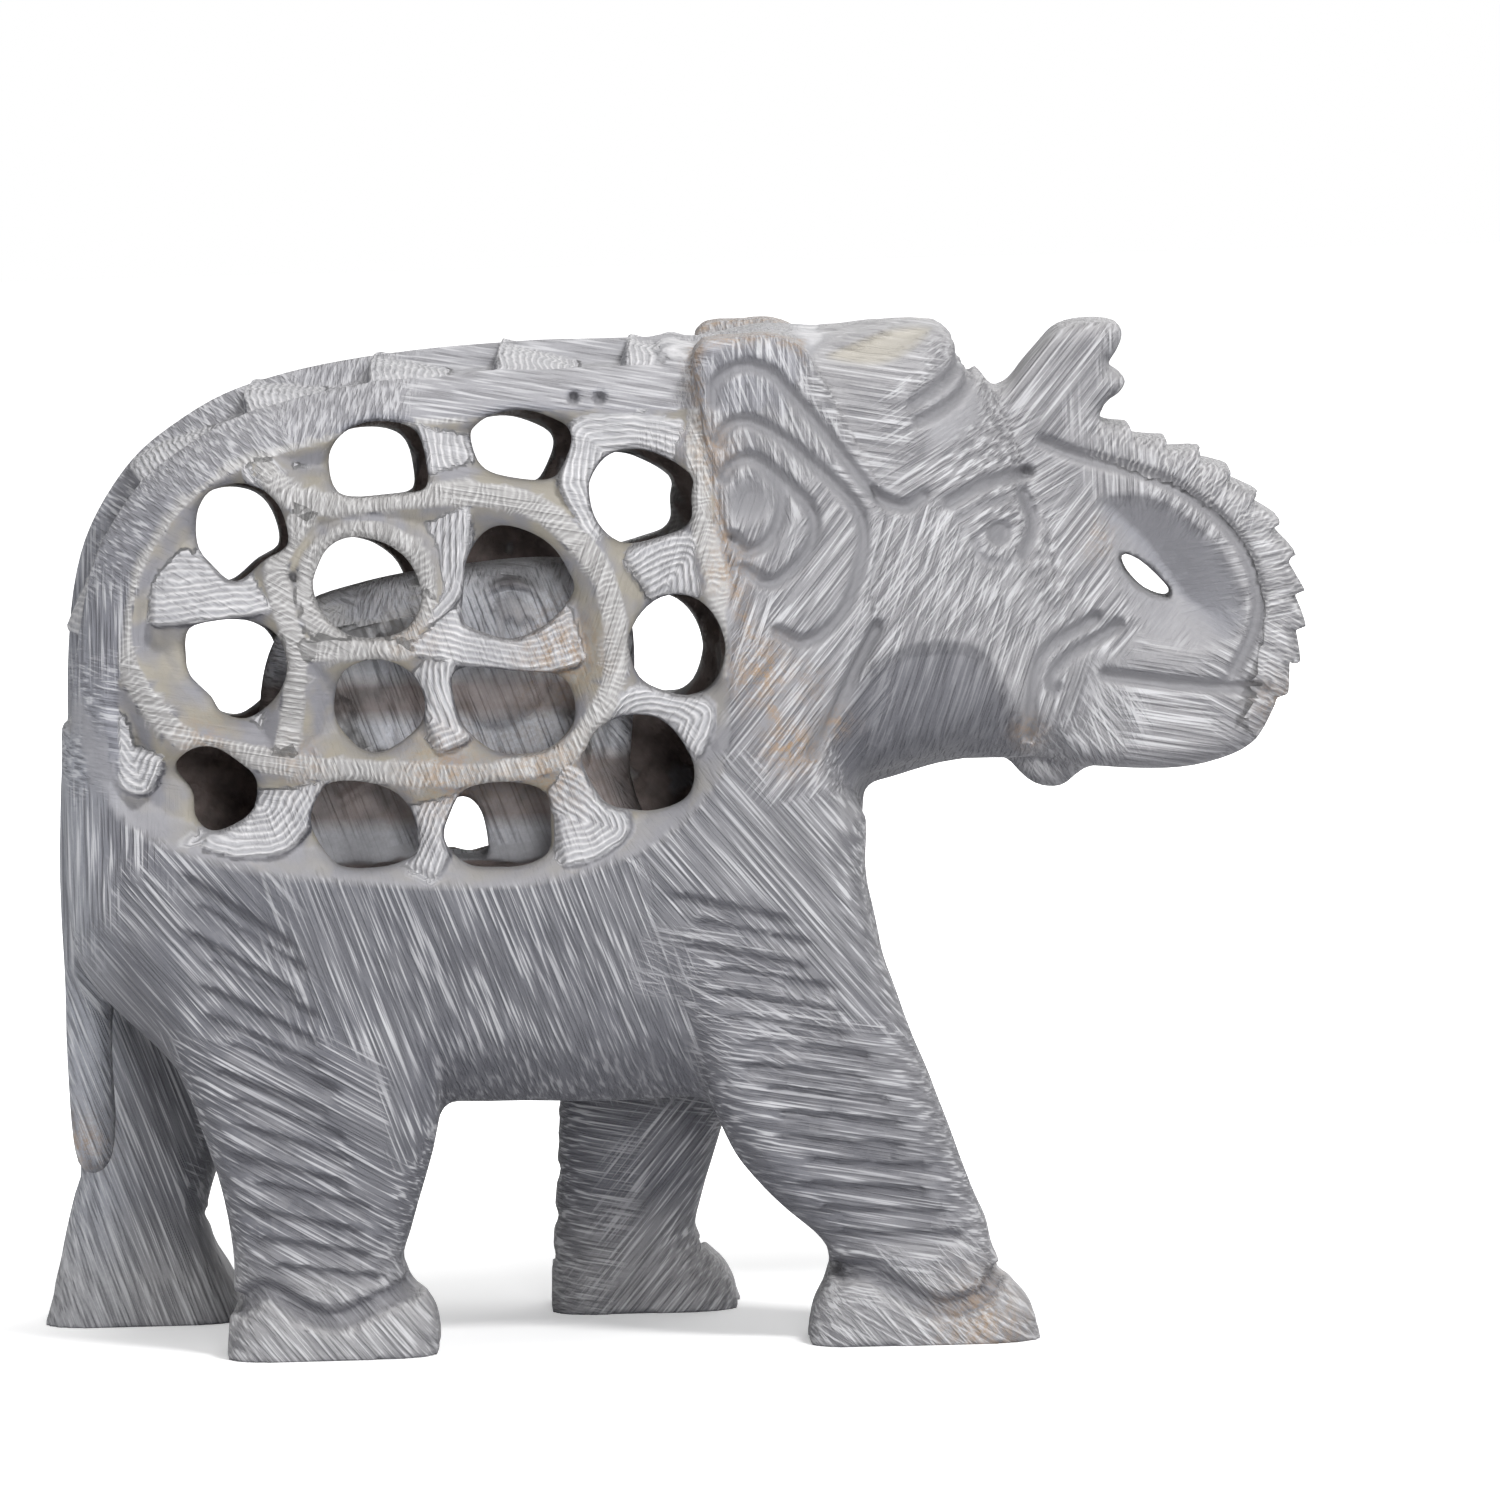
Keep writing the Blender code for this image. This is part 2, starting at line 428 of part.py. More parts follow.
def carve_elephant(block):
    x, y, z = block.x, block.y, block.z
    body_side = outline_distance(BODY, x, z)
    right_x, right_z = x - RIGHT_OFFSET[0], z - RIGHT_OFFSET[1]
    left_relief = back_depth(block, *lattice_depth(x, z), body_side)
    right_relief = back_depth(block, *lattice_depth(right_x, right_z), body_side)
    form = trunk_and_body(block) + np.where(y < 0, left_relief, right_relief)

    form = joined(form, head(block), 1.5)
    ear_half = DRAWN_WIDTH / 2 + EAR_STEP - np.interp(x, [5, 22], [0, 4.2])
    form = joined(form, slab(block, EAR, ear_half, 1.4), 0.6)

    half = DRAWN_WIDTH / 2 - WALL
    hollow = rounded(np.maximum(body_side + WALL, x - CAVITY_FRONT), np.abs(y) - half, CAVITY_EDGE)
    hollow = rounded(hollow, CAVITY_FLOOR - z, 2.0)
    form = cut(form, hollow, 1.0)
    holes = np.where(y < 0, hole_tools(HOLES + LEFT_HOLES, x, z),
                     hole_tools(HOLES, right_x, right_z))
    form = cut(form, np.maximum(holes, 12 - np.abs(y)), 1.2)
    form = joined(form, calf(block), 1.5)

    form = form + head_carving(block) + toe_grooves(block)
    return np.maximum(form, -z)


def head_carving(block):
    x, y, z = block.x, block.y, block.z
    depth = np.zeros(np.broadcast(x, z).shape)
    for line in GROOVES:
        distance = path_distance(line, x, z)[0]
        depth = np.maximum(depth, furrow(distance, GROOVE_WIDTH, GROOVE_DEPTH))
    for place, radius in ((EYE, EYE_RADIUS), (EAR_PIT, EAR_PIT_RADIUS)):
        away = np.hypot(x - place[0], z - place[1])
        depth = np.maximum(depth, furrow(away, 2 * radius, GROOVE_DEPTH))
    depth = depth * (np.abs(y) > 3)
    recess = np.clip(-outline_distance(NECK, x, z) * 0.8, 0, NECK_DEPTH)
    recess = recess + np.clip(-outline_distance(CROWN_SCOOP, x, z), 0, SCOOP_DEPTH)
    depth = depth + recess * np.clip((np.abs(y) - 9) / 4, 0, 1)
    dish = np.clip(-outline_distance(TRUNK_DISH, x, z) * 0.9, 0, 5.0)
    hole = np.maximum(-outline_distance(TRUNK_HOLE, x, z), 0) * 20
    parting = PARTING_DEPTH * np.exp(-(y / PARTING_WIDTH) ** 2)
    parting = parting * np.clip((z - PARTING_FOOT) / 4, 0, 1) * np.clip((x - NAPE) / 5, 0, 1)
    return depth + dish + hole + parting * (x < BROW)


def toe_grooves(block):
    depth = np.zeros(np.broadcast(block.x, block.y, block.z).shape, dtype=np.float32)
    for side, sign in (("left", -1), ("right", 1)):
        for line in TOES[side]:
            distance = path_distance(line, block.x, block.z)[0]
            depth += furrow(distance, TOE_WIDTH, TOE_DEPTH) * (sign * block.y > 6)
    return depth


def field_to_mesh_tree():
    """A node tree that reads the field from the points of a grid and skins its zero level."""
    tree = bpy.data.node_groups.new("field_to_mesh", "GeometryNodeTree")
    sockets = tree.interface
    sockets.new_socket("Geometry", in_out="INPUT", socket_type="NodeSocketGeometry")
    for name in ("Low corner", "High corner"):
        sockets.new_socket(name, in_out="INPUT", socket_type="NodeSocketVector")
    for axis in "XYZ":
        sockets.new_socket("Count " + axis, in_out="INPUT", socket_type="NodeSocketInt")
    sockets.new_socket("Geometry", in_out="OUTPUT", socket_type="NodeSocketGeometry")
    node, link = tree.nodes.new, tree.links.new
    given = node("NodeGroupInput")

    def vector_math(operation, first, second):
        made = node("ShaderNodeVectorMath")
        made.operation = operation
        link(first, made.inputs[0])
        link(second, made.inputs[1])
        return made.outputs[0]

    def whole_math(operation, first, second):
        made = node("FunctionNodeIntegerMath")
        made.operation = operation
        link(first, made.inputs[0])
        link(second, made.inputs[1])
        return made.outputs[0]

    place = node("GeometryNodeInputPosition")
    from_low = vector_math("SUBTRACT", place.outputs[0], given.outputs["Low corner"])
    span = vector_math("SUBTRACT", given.outputs["High corner"], given.outputs["Low corner"])
    share = node("ShaderNodeSeparateXYZ")
    link(vector_math("DIVIDE", from_low, span), share.inputs[0])
    index = None
    for axis in "XYZ":
        count = given.outputs["Count " + axis]
        last = node("ShaderNodeMath")
        last.operation = "SUBTRACT"
        last.inputs[1].default_value = 1
        link(count, last.inputs[0])
        scaled = node("ShaderNodeMath")
        scaled.operation = "MULTIPLY"
        link(share.outputs[axis], scaled.inputs[0])
        link(last.outputs[0], scaled.inputs[1])
        whole = node("FunctionNodeFloatToInt")
        whole.rounding_mode = "ROUND"
        link(scaled.outputs[0], whole.inputs[0])
        if index is None:
            index = whole.outputs[0]
        else:
            index = whole_math("ADD", whole_math("MULTIPLY", index, count), whole.outputs[0])

    stored = node("GeometryNodeInputNamedAttribute")
    stored.data_type = "FLOAT"
    stored.inputs["Name"].default_value = "field"
    sample = node("GeometryNodeSampleIndex")
    sample.data_type = "FLOAT"
    link(given.outputs["Geometry"], sample.inputs["Geometry"])
    link(stored.outputs["Attribute"], sample.inputs["Value"])
    link(index, sample.inputs["Index"])
    cube = node("GeometryNodeVolumeCube")
    cube.inputs["Background"].default_value = -1.0
    link(sample.outputs["Value"], cube.inputs["Density"])
    link(given.outputs["Low corner"], cube.inputs["Min"])
    link(given.outputs["High corner"], cube.inputs["Max"])
    for axis in "XYZ":
        link(given.outputs["Count " + axis], cube.inputs["Resolution " + axis])
    skin = node("GeometryNodeVolumeToMesh")
    skin.inputs["Threshold"].default_value = 0.0
    link(cube.outputs[0], skin.inputs["Volume"])
    link(skin.outputs[0], node("NodeGroupOutput").inputs[0])
    return tree


def skin_field(name, block, form):
    """The surface of the field, as a mesh in metres."""
    points = bpy.data.meshes.new(name + "_grid")
    points.vertices.add(form.size)
    stored = points.attributes.new("field", "FLOAT", "POINT")
    stored.data.foreach_set("value", -form.astype(np.float32).ravel())
    holder = bpy.data.objects.new(name + "_grid", points)
    holder.hide_render = True
    bpy.context.scene.collection.objects.link(holder)
    modifier = holder.modifiers.new("skin", "NODES")
    modifier.node_group = field_to_mesh_tree()
    socket = {item.name: item.identifier for item in modifier.node_group.interface.items_tree
              if item.in_out == "INPUT"}
    size = np.array([SCALE, SIDE, SCALE]) * MILLIMETRE
    modifier[socket["Low corner"]] = [float(value) for value in block.low * size]
    modifier[socket["High corner"]] = [float(value) for value in block.high * size]
    for axis, count in zip("XYZ", block.count):
        modifier[socket["Count " + axis]] = int(count)
    evaluated = holder.evaluated_get(bpy.context.evaluated_depsgraph_get())
    mesh = bpy.data.meshes.new_from_object(evaluated)
    mesh.name = name
    bpy.data.objects.remove(holder)
    return mesh


def stand_on_origin(mesh):
    """Puts the middle of the figure's box above the origin, with the soles on the ground."""
    corners = [Vector(map(pick, zip(*(point.co for point in mesh.vertices)))) for pick in (min, max)]
    middle = (corners[0] + corners[1]) / 2
    mesh.transform(Matrix.Translation((-middle.x, -middle.y, -corners[0].z)))


def soapstone():
    material = bpy.data.materials.new("soapstone")
    material.use_nodes = True
    shader = material.node_tree.nodes["Principled BSDF"]
    shader.inputs["Base Color"].default_value = (0.42, 0.42, 0.44, 1)
    shader.inputs["Roughness"].default_value = 0.6
    shader.inputs["Metallic"].default_value = 0.0
    return material


def main():
    clear_scene()
    block = Block(GRID_STEP)
    mesh = skin_field("elephant", block, carve_elephant(block))
    stand_on_origin(mesh)
    mesh.materials.append(soapstone())
    elephant = bpy.data.objects.new("elephant", mesh)
    bpy.context.scene.collection.objects.link(elephant)
    triangles = sum(len(face.vertices) - 2 for face in mesh.polygons)
    facets = elephant.modifiers.new("facets", "DECIMATE")
    facets.ratio = FACET_COUNT / triangles


main()
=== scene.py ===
# A soapstone elephant with a raised trunk, its flanks pierced around a smaller elephant cut from the
# same stone. The carving is worked out as a distance field in millimetres, skinned by a node tree,
# and its tool marks and stains are measured at each point of the stone for the material to read.
import math

import bpy
import numpy as np
from mathutils import Matrix, Vector


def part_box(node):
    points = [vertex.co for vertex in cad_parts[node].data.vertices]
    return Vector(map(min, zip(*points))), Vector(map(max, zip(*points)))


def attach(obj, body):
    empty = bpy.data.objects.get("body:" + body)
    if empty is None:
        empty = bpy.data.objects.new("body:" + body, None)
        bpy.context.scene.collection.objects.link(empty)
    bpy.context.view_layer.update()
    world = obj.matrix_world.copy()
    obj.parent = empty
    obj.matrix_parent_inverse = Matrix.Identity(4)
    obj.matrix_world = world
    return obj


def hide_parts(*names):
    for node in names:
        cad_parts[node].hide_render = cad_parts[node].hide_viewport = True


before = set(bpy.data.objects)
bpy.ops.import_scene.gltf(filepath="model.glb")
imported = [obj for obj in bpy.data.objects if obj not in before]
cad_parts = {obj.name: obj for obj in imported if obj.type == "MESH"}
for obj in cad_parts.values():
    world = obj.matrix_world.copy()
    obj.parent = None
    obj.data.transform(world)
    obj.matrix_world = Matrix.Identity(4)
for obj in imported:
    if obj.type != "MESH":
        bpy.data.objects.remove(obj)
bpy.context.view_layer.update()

# Driving sizes, in millimetres. The figure faces +X and its feet stand on Z = 0.
HEIGHT = 100.5
BODY_WIDTH = 52.0
LEG_WIDTH = 18.0
WALL = 6.0
CAVITY_FLOOR = 48.0
CAVITY_FRONT = 6.0
CAVITY_EDGE = 8.0
CALF_WIDTH = 14.0
CALF_EAR_STEP = 0.7
TRUNK_WIDTH = 17.0
TAIL_WIDTH = 7.4
HEAD_WIDTH = 43.0
EAR_STEP = 0.6
BELLY_TUCK = 4.5
RELIEF_DEPTH = 2.8
RIDGE_WIDTH = 2.0
GROOVE_WIDTH = 1.5
GROOVE_DEPTH = 1.0
NECK_DEPTH = 1.2
SCOOP_DEPTH = 1.1
TOOTH_PITCH = 3.6
TOOTH_HEIGHT = 1.3
TOOTH_REACH = 4.0
TOE_WIDTH = 2.6
TOE_DEPTH = 1.3
HOLE_GROWTH = 0.2
PARTING_WIDTH = 3.0
PARTING_DEPTH = 1.6
LEG_SPREAD = 1.0
ANKLE_TUCK = 0.8
FOOT_FLARE = 1.4
FLARE_HEIGHT = 4.5
LIP_WIDTH = 10.0
DISH_DEPTH = 5.0

# How far the edges between outline and side are rounded. The body's edge grows rounder from belly
# to back, and is given as Z and radius.
BODY_ROUNDING = [(20, 6), (40, 9), (60, 12), (84, 15)]
LEG_ROUNDING = 5.0
TAIL_ROUNDING = 2.0
HEAD_ROUNDING = 8.0
TRUNK_ROUNDING = 2.4
CALF_ROUNDING = 4.0

# The outlines below are drawn on a figure this high, and grow or shrink with HEIGHT.
DRAWN_HEIGHT = 100.5
DRAWN_WIDTH = 52.0
SCALE = HEIGHT / DRAWN_HEIGHT
SIDE = BODY_WIDTH / DRAWN_WIDTH

MILLIMETRE = 0.001

# Side outlines, X and Z
BODY = [(-60.2, 45), (-60.6, 60), (-60.3, 70), (-59.2, 78), (-57, 84), (-53, 89.5), (-48, 93.5),
        (-42, 96.3), (-34, 98.3), (-24, 99.6), (-12, 100.2), (0, 100.2), (10, 99.8), (18, 99.5),
        (22, 90), (20.5, 62), (19.5, 48), (20, 38), (16, 28), (8, 25), (-5, 24.3), (-20, 24.6),
        (-35, 25), (-46, 27), (-54, 33), (-59, 39)]
NEAR_HIND_LEG = [(-57, 48), (-56, 42), (-53, 36), (-50, 30), (-47, 22), (-45, 14), (-44.4, 8.5),
                 (-45, 4), (-45.4, 0), (-45.4, -4), (-24.8, -4), (-24.2, 0), (-24.5, 4), (-26.3, 7),
                 (-27.6, 9), (-26.8, 12), (-25.3, 17), (-23.9, 22), (-23.6, 26), (-25.2, 31),
                 (-27.4, 36), (-30.2, 41), (-34, 46.6), (-40, 53), (-50, 55)]
FAR_HIND_LEG = [(-60.5, 48), (-60.8, 30), (-60.8, 20), (-61.8, 14), (-63.5, 7), (-64.4, 3),
                (-64.4, -4), (-45.7, -4), (-45.5, 2), (-46.5, 5), (-48, 8), (-48.5, 12),
                (-46.5, 18), (-44, 26), (-40, 36), (-40, 50)]
NEAR_FRONT_LEG = [(-2, 50), (-0.6, 40), (1.6, 32), (3, 26), (5.5, 20), (8, 16.5), (11, 13.3),
                  (14, 10.5), (15, 8.5), (14.6, 6), (13.4, 3.5), (12.8, 0), (12.8, -4), (35.4, -4),
                  (35.7, 1), (35, 3.5), (33, 6), (31.5, 8.8), (30.9, 11.5), (29.5, 15), (26.7, 23),
                  (23.8, 31), (21, 39), (19.3, 46), (19, 52), (14, 60), (4, 60)]
FAR_FRONT_LEG = [(-13, 50), (-12.3, 35), (-12.3, 18), (-13, 8), (-13.4, 0), (-13.4, -4), (5.4, -4),
                 (5.6, 1), (4.5, 4), (2.6, 6), (1.6, 8), (2.3, 11), (3.6, 15.5), (5, 20), (8, 30),
                 (10, 45), (5, 55)]
TAIL = [(-57, 63), (-60.5, 61), (-61.8, 50), (-61.6, 36), (-61.5, 24), (-60.8, 18), (-58.8, 17),
        (-57.2, 20), (-57, 32), (-55, 45), (-53, 60)]
HEAD = [(0, 98), (4, 99.5), (10, 100.8), (14, 100.6), (17, 100.4), (22, 101), (26.5, 101.2),
        (29, 100.4), (30.8, 98.3), (31.9, 96.5), (33.4, 94.8), (36, 90), (38, 85), (41, 79),
        (44, 75), (46, 71), (46, 66), (43, 60), (41, 57.2), (30, 57.2), (20, 55), (14, 54),
        (4, 60), (0, 75)]
LIP = [(33, 59.5), (34.6, 56.8), (37.2, 54.3), (40.2, 54.2), (41.8, 57), (40, 61)]
TRUNK = [(34.4, 92), (36.2, 95.5), (38.4, 98.2), (40.6, 100.3), (43.8, 100.9), (46.5, 100.5),
         (47, 99.4), (46.4, 97.9), (45.6, 96.4), (47.2, 95), (46.6, 93.5), (45, 91.4),
         (50.4, 88.8), (54.7, 87.2), (59, 84), (62.2, 80.2), (63.9, 75.8), (64.6, 71), (63.8, 66),
         (62, 61.6), (59, 57.8), (54.6, 56), (49, 55.6), (44, 56), (40, 57), (36, 62), (38, 70),
         (38, 80)]
TRUNK_DISH = [(44, 82), (47.5, 83.5), (52, 82), (57, 77), (59, 71), (56.5, 67.5), (50, 67.5),
              (46.5, 72)]
TRUNK_HOLE = [(46.4, 77.4), (48.6, 76.6), (51.4, 73.6), (51, 72.6), (48.6, 73.4), (46.6, 75.6)]
EAR = [(4, 99.8), (9, 101), (12, 101), (14.5, 99.8), (16.5, 97), (18.5, 93), (20.5, 89),
       (22.3, 85.2), (22, 80), (21, 75.5), (21.5, 72), (19, 66.5), (17, 61.5), (15.3, 58.6),
       (13.5, 59.2), (11.7, 61.5), (10.2, 66), (8.6, 72), (7, 78), (5.8, 84), (4.9, 91)]
LATTICE = [(7, 66), (6, 58), (1, 52), (-6, 48.5), (-14, 46.8), (-24, 46.8), (-34, 47.8),
           (-44, 49.5), (-52, 52.5), (-57, 57), (-60, 63), (-68, 68), (-68, 108), (14, 108),
           (14, 95), (8, 80)]
CALF = [(-39.5, 45), (-41, 52), (-41.2, 60), (-40.6, 67), (-38.8, 71.6), (-35.8, 74.4), (-31, 75.9),
        (-26, 76.9), (-20, 77.6), (-14, 78.1), (-9, 77.8), (-5.6, 76), (-3.6, 73), (-3, 69),
        (-3.2, 63), (-3.8, 56), (-4.2, 45)]
CALF_EAR = [(-20.4, 66), (-20.2, 71), (-18.6, 74.8), (-15.8, 76.6), (-12.4, 75.8), (-10.4, 72.6),
            (-10.6, 68), (-13, 63.6), (-17, 61.6), (-19.6, 63)]
CALF_GAP = [(-23.6, 43), (-23.6, 49), (-22.8, 52.8), (-20.9, 54.6), (-19, 53.4), (-18.2, 49.6),
            (-18.2, 43)]

# Flat-topped ridges of the lattice, drawn on the flank
RIDGES = [
    [(2, 95), (-10, 95.5), (-20, 94.5), (-30, 93.5), (-40, 91), (-46, 88), (-50, 84), (-53, 79),
     (-54, 73), (-53, 69), (-50, 64.5), (-47, 62), (-43, 61), (-37, 59.5), (-30, 58.7),
     (-20, 58), (-15, 58.5), (-10, 60), (-7, 63), (-5, 67), (-4.5, 71), (-5.5, 77), (-8, 81),
     (-12, 84.5), (-17, 86), (-25, 86), (-33, 85.5), (-37, 86.5), (-39, 89)],
    [(-35, 85), (-38, 80), (-37.5, 75), (-36.5, 71), (-37, 65), (-38, 60)],
    [(-37, 71), (-30, 71), (-26, 70.8)],
    [(4.5, 95), (4, 85), (5.5, 77), (7, 68)],
    [(-23.4, 76.2), (-24.6, 80.4), (-29.2, 82.6), (-33.8, 80.6), (-35.2, 77), (-33.9, 73),
     (-29.5, 71.2), (-25.4, 72.6), (-23.4, 76.2)],
]

# Holes through the wall of each flank, and those that only the left flank has
HOLES = [
    [(-46, 84.1), (-45.5, 85.6), (-44.4, 86.8), (-41.9, 87.4), (-39.3, 86.7), (-37.7, 84.7),
     (-37.2, 81.6), (-39.5, 80.1), (-42.4, 78), (-44.6, 79.7), (-45.9, 81.5)],
    [(-32.6, 89.6), (-32.1, 91.1), (-30.8, 92.4), (-28.5, 93.2), (-25.6, 93), (-23.9, 91.9),
     (-23.2, 89.3), (-23.3, 86.9), (-25.8, 86.4), (-30.7, 86.2), (-32.2, 87.2)],
    [(-18.4, 91.4), (-17.9, 92.6), (-16.2, 93.6), (-13.5, 94), (-11.1, 93.4), (-8.7, 91.7),
     (-9.7, 88.5), (-11, 87.4), (-14.2, 87.6), (-17.3, 88.7)],
    [(-6.7, 85.8), (-6.4, 87.4), (-5.1, 89.1), (-3.2, 89.8), (-0.5, 89.5), (3.1, 87.4),
     (3.1, 85.3), (2.9, 82.6), (0.2, 81.4), (-2.9, 80.8), (-4.8, 81.5), (-6.2, 83.4)],
    [(-3.2, 70.6), (-2.7, 72.3), (-1.7, 73.7), (0.1, 75), (2.3, 75.2), (4.2, 74.3), (5.6, 72.3),
     (6.1, 69.6), (5, 66.5), (2.7, 65.4), (0.3, 65.9), (-2.2, 67.3)],
    [(-22.1, 51.5), (-21.3, 54.4), (-20.2, 56.2), (-18.5, 56.9), (-15.9, 57.1), (-13.4, 56.6),
     (-12, 55.4), (-11.8, 52.8), (-12, 50.2), (-14.1, 48.9), (-17, 48.7), (-20, 49.1)],
    [(-35.4, 53.5), (-34, 57), (-31.7, 57.6), (-28.6, 57.1), (-26.6, 55.8), (-25.3, 53.4),
     (-25.2, 50.6), (-26.8, 49.5), (-28.9, 49), (-31.4, 49), (-33.4, 49.8)],
    [(-47.2, 72.8), (-47.4, 70.6), (-47, 68.6), (-45, 66.5), (-44.2, 65.1), (-42.5, 64.3),
     (-40.9, 64.6), (-38.7, 66.5), (-37.6, 69.4), (-38.8, 72.7), (-42.5, 73.9), (-45.8, 73.6)],
    [(-34.5, 77.1), (-33.9, 79.2), (-32.9, 80.9), (-31.3, 81.8), (-29.3, 81.8), (-27, 81),
     (-25, 79.2), (-24, 76.2), (-24.9, 73.6), (-26.7, 72.3), (-29.5, 72), (-31.5, 72.5),
     (-33.6, 74.5)],
    [(-32.7, 65.5), (-31.9, 68.2), (-30.1, 69.4), (-28, 69.6), (-26, 68.8), (-24.5, 67),
     (-24, 64.9), (-24.9, 62.7), (-28, 60.7), (-30.3, 61), (-32.3, 63.2)],
    [(-20.7, 68.1), (-17.8, 68.5), (-14.7, 68.1), (-11.2, 67.7), (-9.4, 66.2), (-9.2, 63),
     (-11.7, 60.5), (-14.9, 60), (-17.4, 60.6), (-19.8, 62.8), (-20.7, 65.3)],
]
LEFT_HOLES = [
    [(-8.1, 58.9), (-7.6, 60.4), (-6.6, 62.1), (-5.1, 63), (-2.9, 63.4), (-0.5, 62.9), (1.6, 60.7),
     (2.7, 57.7), (1.9, 55.2), (-0.7, 54.1), (-3.1, 54.1), (-6.1, 55)],
    [(-48.7, 59.4), (-47.6, 60.9), (-46.1, 61.4), (-44.6, 61.2), (-42.8, 60), (-41.3, 58.6),
     (-41, 57), (-41.8, 54.7), (-45.1, 53.1), (-46.8, 54.4), (-47.1, 57)],
    [(-19.3, 78.6), (-18.7, 80.2), (-17.4, 81.9), (-15.5, 82.6), (-12.8, 81.8), (-10.7, 80.3),
     (-9.3, 77.9), (-8.9, 76), (-11.1, 73.3), (-13.6, 71.9), (-15.5, 71.6), (-18.1, 72.4),
     (-19.6, 73.4), (-19.5, 76.2)],
]

# The lattice of the right flank lies this much farther along X and Z than the left one's
RIGHT_OFFSET = (-2.4, -2.4)

# The slopes that the lattice is cut with, as depth over width, and how near the middle of the
# stone its holes reach
BORDER_SLOPE = 0.9
RIDGE_SLOPE = 1.1
HOLE_REACH = 12.0

# Sloped pads between the holes: the line of each crest, which the pad falls away from on its
# right-hand side, and how far the slope reaches
PADS = [
    ([(-38.5, 85.6), (-40.3, 87), (-41.3, 89), (-41.4, 91.5), (-39.5, 94)], 8),
    ([(-37.5, 75.2), (-42, 74.6), (-46, 74.2), (-50.5, 74)], 7),
    ([(-36, 67.5), (-36.2, 64.5), (-37.4, 61.2)], 5),
    ([(-33.6, 58.6), (-34, 56.4), (-36.2, 52.9), (-38.5, 51), (-42, 50.6), (-46, 51.6)], 7),
    ([(-18.6, 57.8), (-19.4, 55.4), (-21.2, 52), (-23, 48.2)], 6),
    ([(-9.8, 58.8), (-6.5, 56.6), (-4.2, 53.7), (-4.3, 51.5), (-7.2, 49.5), (-10, 48.9)], 7),
    ([(-6.5, 62.4), (-5, 65), (-2.5, 66.4), (1.9, 65.6), (4.6, 64.2), (4.6, 62.2), (3.4, 59.6)], 6),
    ([(-3.2, 79.5), (0.1, 81.2), (3.1, 81.4), (5, 79.6), (5.6, 75.6)], 7),
    ([(-6.7, 81.2), (-8.4, 83.9), (-9.6, 86.8), (-9.1, 89.8), (-8.6, 92.2), (-6.6, 93.4),
      (-1.6, 93.4), (2.6, 92.6)], 7),
    ([(-23.1, 88.4), (-23.6, 91), (-23.9, 93), (-24.3, 95)], 7),
    ([(-50.3, 60), (-51.4, 57.6), (-53, 57.2), (-54.8, 58.4), (-56.4, 60.6), (-58, 62.6)], 6),
    ([(-18.9, 84.5), (-19.3, 80), (-19.6, 76.8), (-21.8, 74.2), (-25.5, 71.8)], 6),
    ([(-8.5, 69), (-12, 68.2), (-15, 68.1), (-20, 69.3), (-26, 70.6)], 12),
    ([(-20.6, 70), (-21.1, 67), (-20, 64.2), (-19.6, 61.8), (-22.3, 60.6)], 6),
]

# The strip over rump and back: crest and foot of each pad, along the back from the tail root
BACK_PADS = [(3, 10), (17, 25), (35, 44), (49, 57), (62, 70), (75, 83), (88, 96)]
BACK_START = (-60.8, 56)
BACK_DEPTH = 0.85 * RELIEF_DEPTH
BACK_HALF_WIDTH = 18.5
SPINE_HALF_WIDTH = 0.8

# Grooves of ear, brow, cheek and trunk
GROOVES = [
    [(5.8, 94.5), (6.2, 96.8), (8.9, 98.2), (11.4, 97.4), (13, 95.7), (17.1, 90.7), (20.2, 86.4),
     (22.2, 84.3), (24.8, 83.4), (26.5, 84.5)],
    [(6.2, 90.6), (7, 92), (8.9, 92.7), (11.2, 91.7), (13.3, 90.1), (17, 86.7), (19.9, 83.2),
     (20.3, 79.5), (18.5, 74), (16, 71.2), (13.8, 70.4), (11.5, 71.6)],
    [(6.6, 87), (7.4, 88.3), (9.5, 88.9), (11.8, 87.2), (15.2, 83.5), (15.2, 80.3), (13.2, 77.7),
     (10.8, 76.4), (8.4, 78)],
    [(10.8, 87.6), (12.3, 85.4), (11.9, 82.6), (10.6, 80.4), (8.6, 79.6), (7.4, 81.2)],
    [(21.5, 71.5), (18, 65), (14.6, 59.2)],
    [(29, 83.6), (33, 85.4), (37, 86)],
    [(36.5, 84), (37.5, 81), (36.5, 78)],
    [(43.7, 71.1), (41.5, 70), (39, 68.7), (37.3, 66), (36.5, 59.6)],
    [(45.9, 70.3), (43.5, 68.9), (40.8, 67.5), (38.9, 65.5), (39.3, 64.1)],
    [(38.7, 89), (41.7, 87.7), (46, 86.4), (50.4, 84.9), (54.5, 82.3), (57.8, 79), (59.6, 75.5),
     (60.1, 72), (59.2, 68.5), (57.4, 65.2)],
    [(44.5, 65.3), (52, 64.2), (60.5, 63.5)],
    [(25.6, 93.6), (27.8, 95), (30, 96.8), (31, 98.9)],
    [(26.2, 91.9), (28.7, 93.1), (30.9, 94.9), (31.6, 97.4)],
]
EYE = (34, 80.3)
EYE_RADIUS = 1.4
EAR_PIT = (9.1, 84.6)
EAR_PIT_RADIUS = 2.2
GROOVE_INNER = 3.0

# The recessed side of the neck, and the scoop on each side of the crown
NECK = [(15.5, 60), (17.5, 64), (20, 67), (24, 69.4), (28.6, 69.9), (32.1, 68.7), (34.6, 64.8),
        (36.2, 60), (36.5, 54), (20, 52)]
CROWN_SCOOP = [(16.8, 98.5), (21.5, 97.4), (25.2, 98.4), (28, 101), (24, 101.2), (20.4, 100.2)]
RECESS_INNER = 9.0

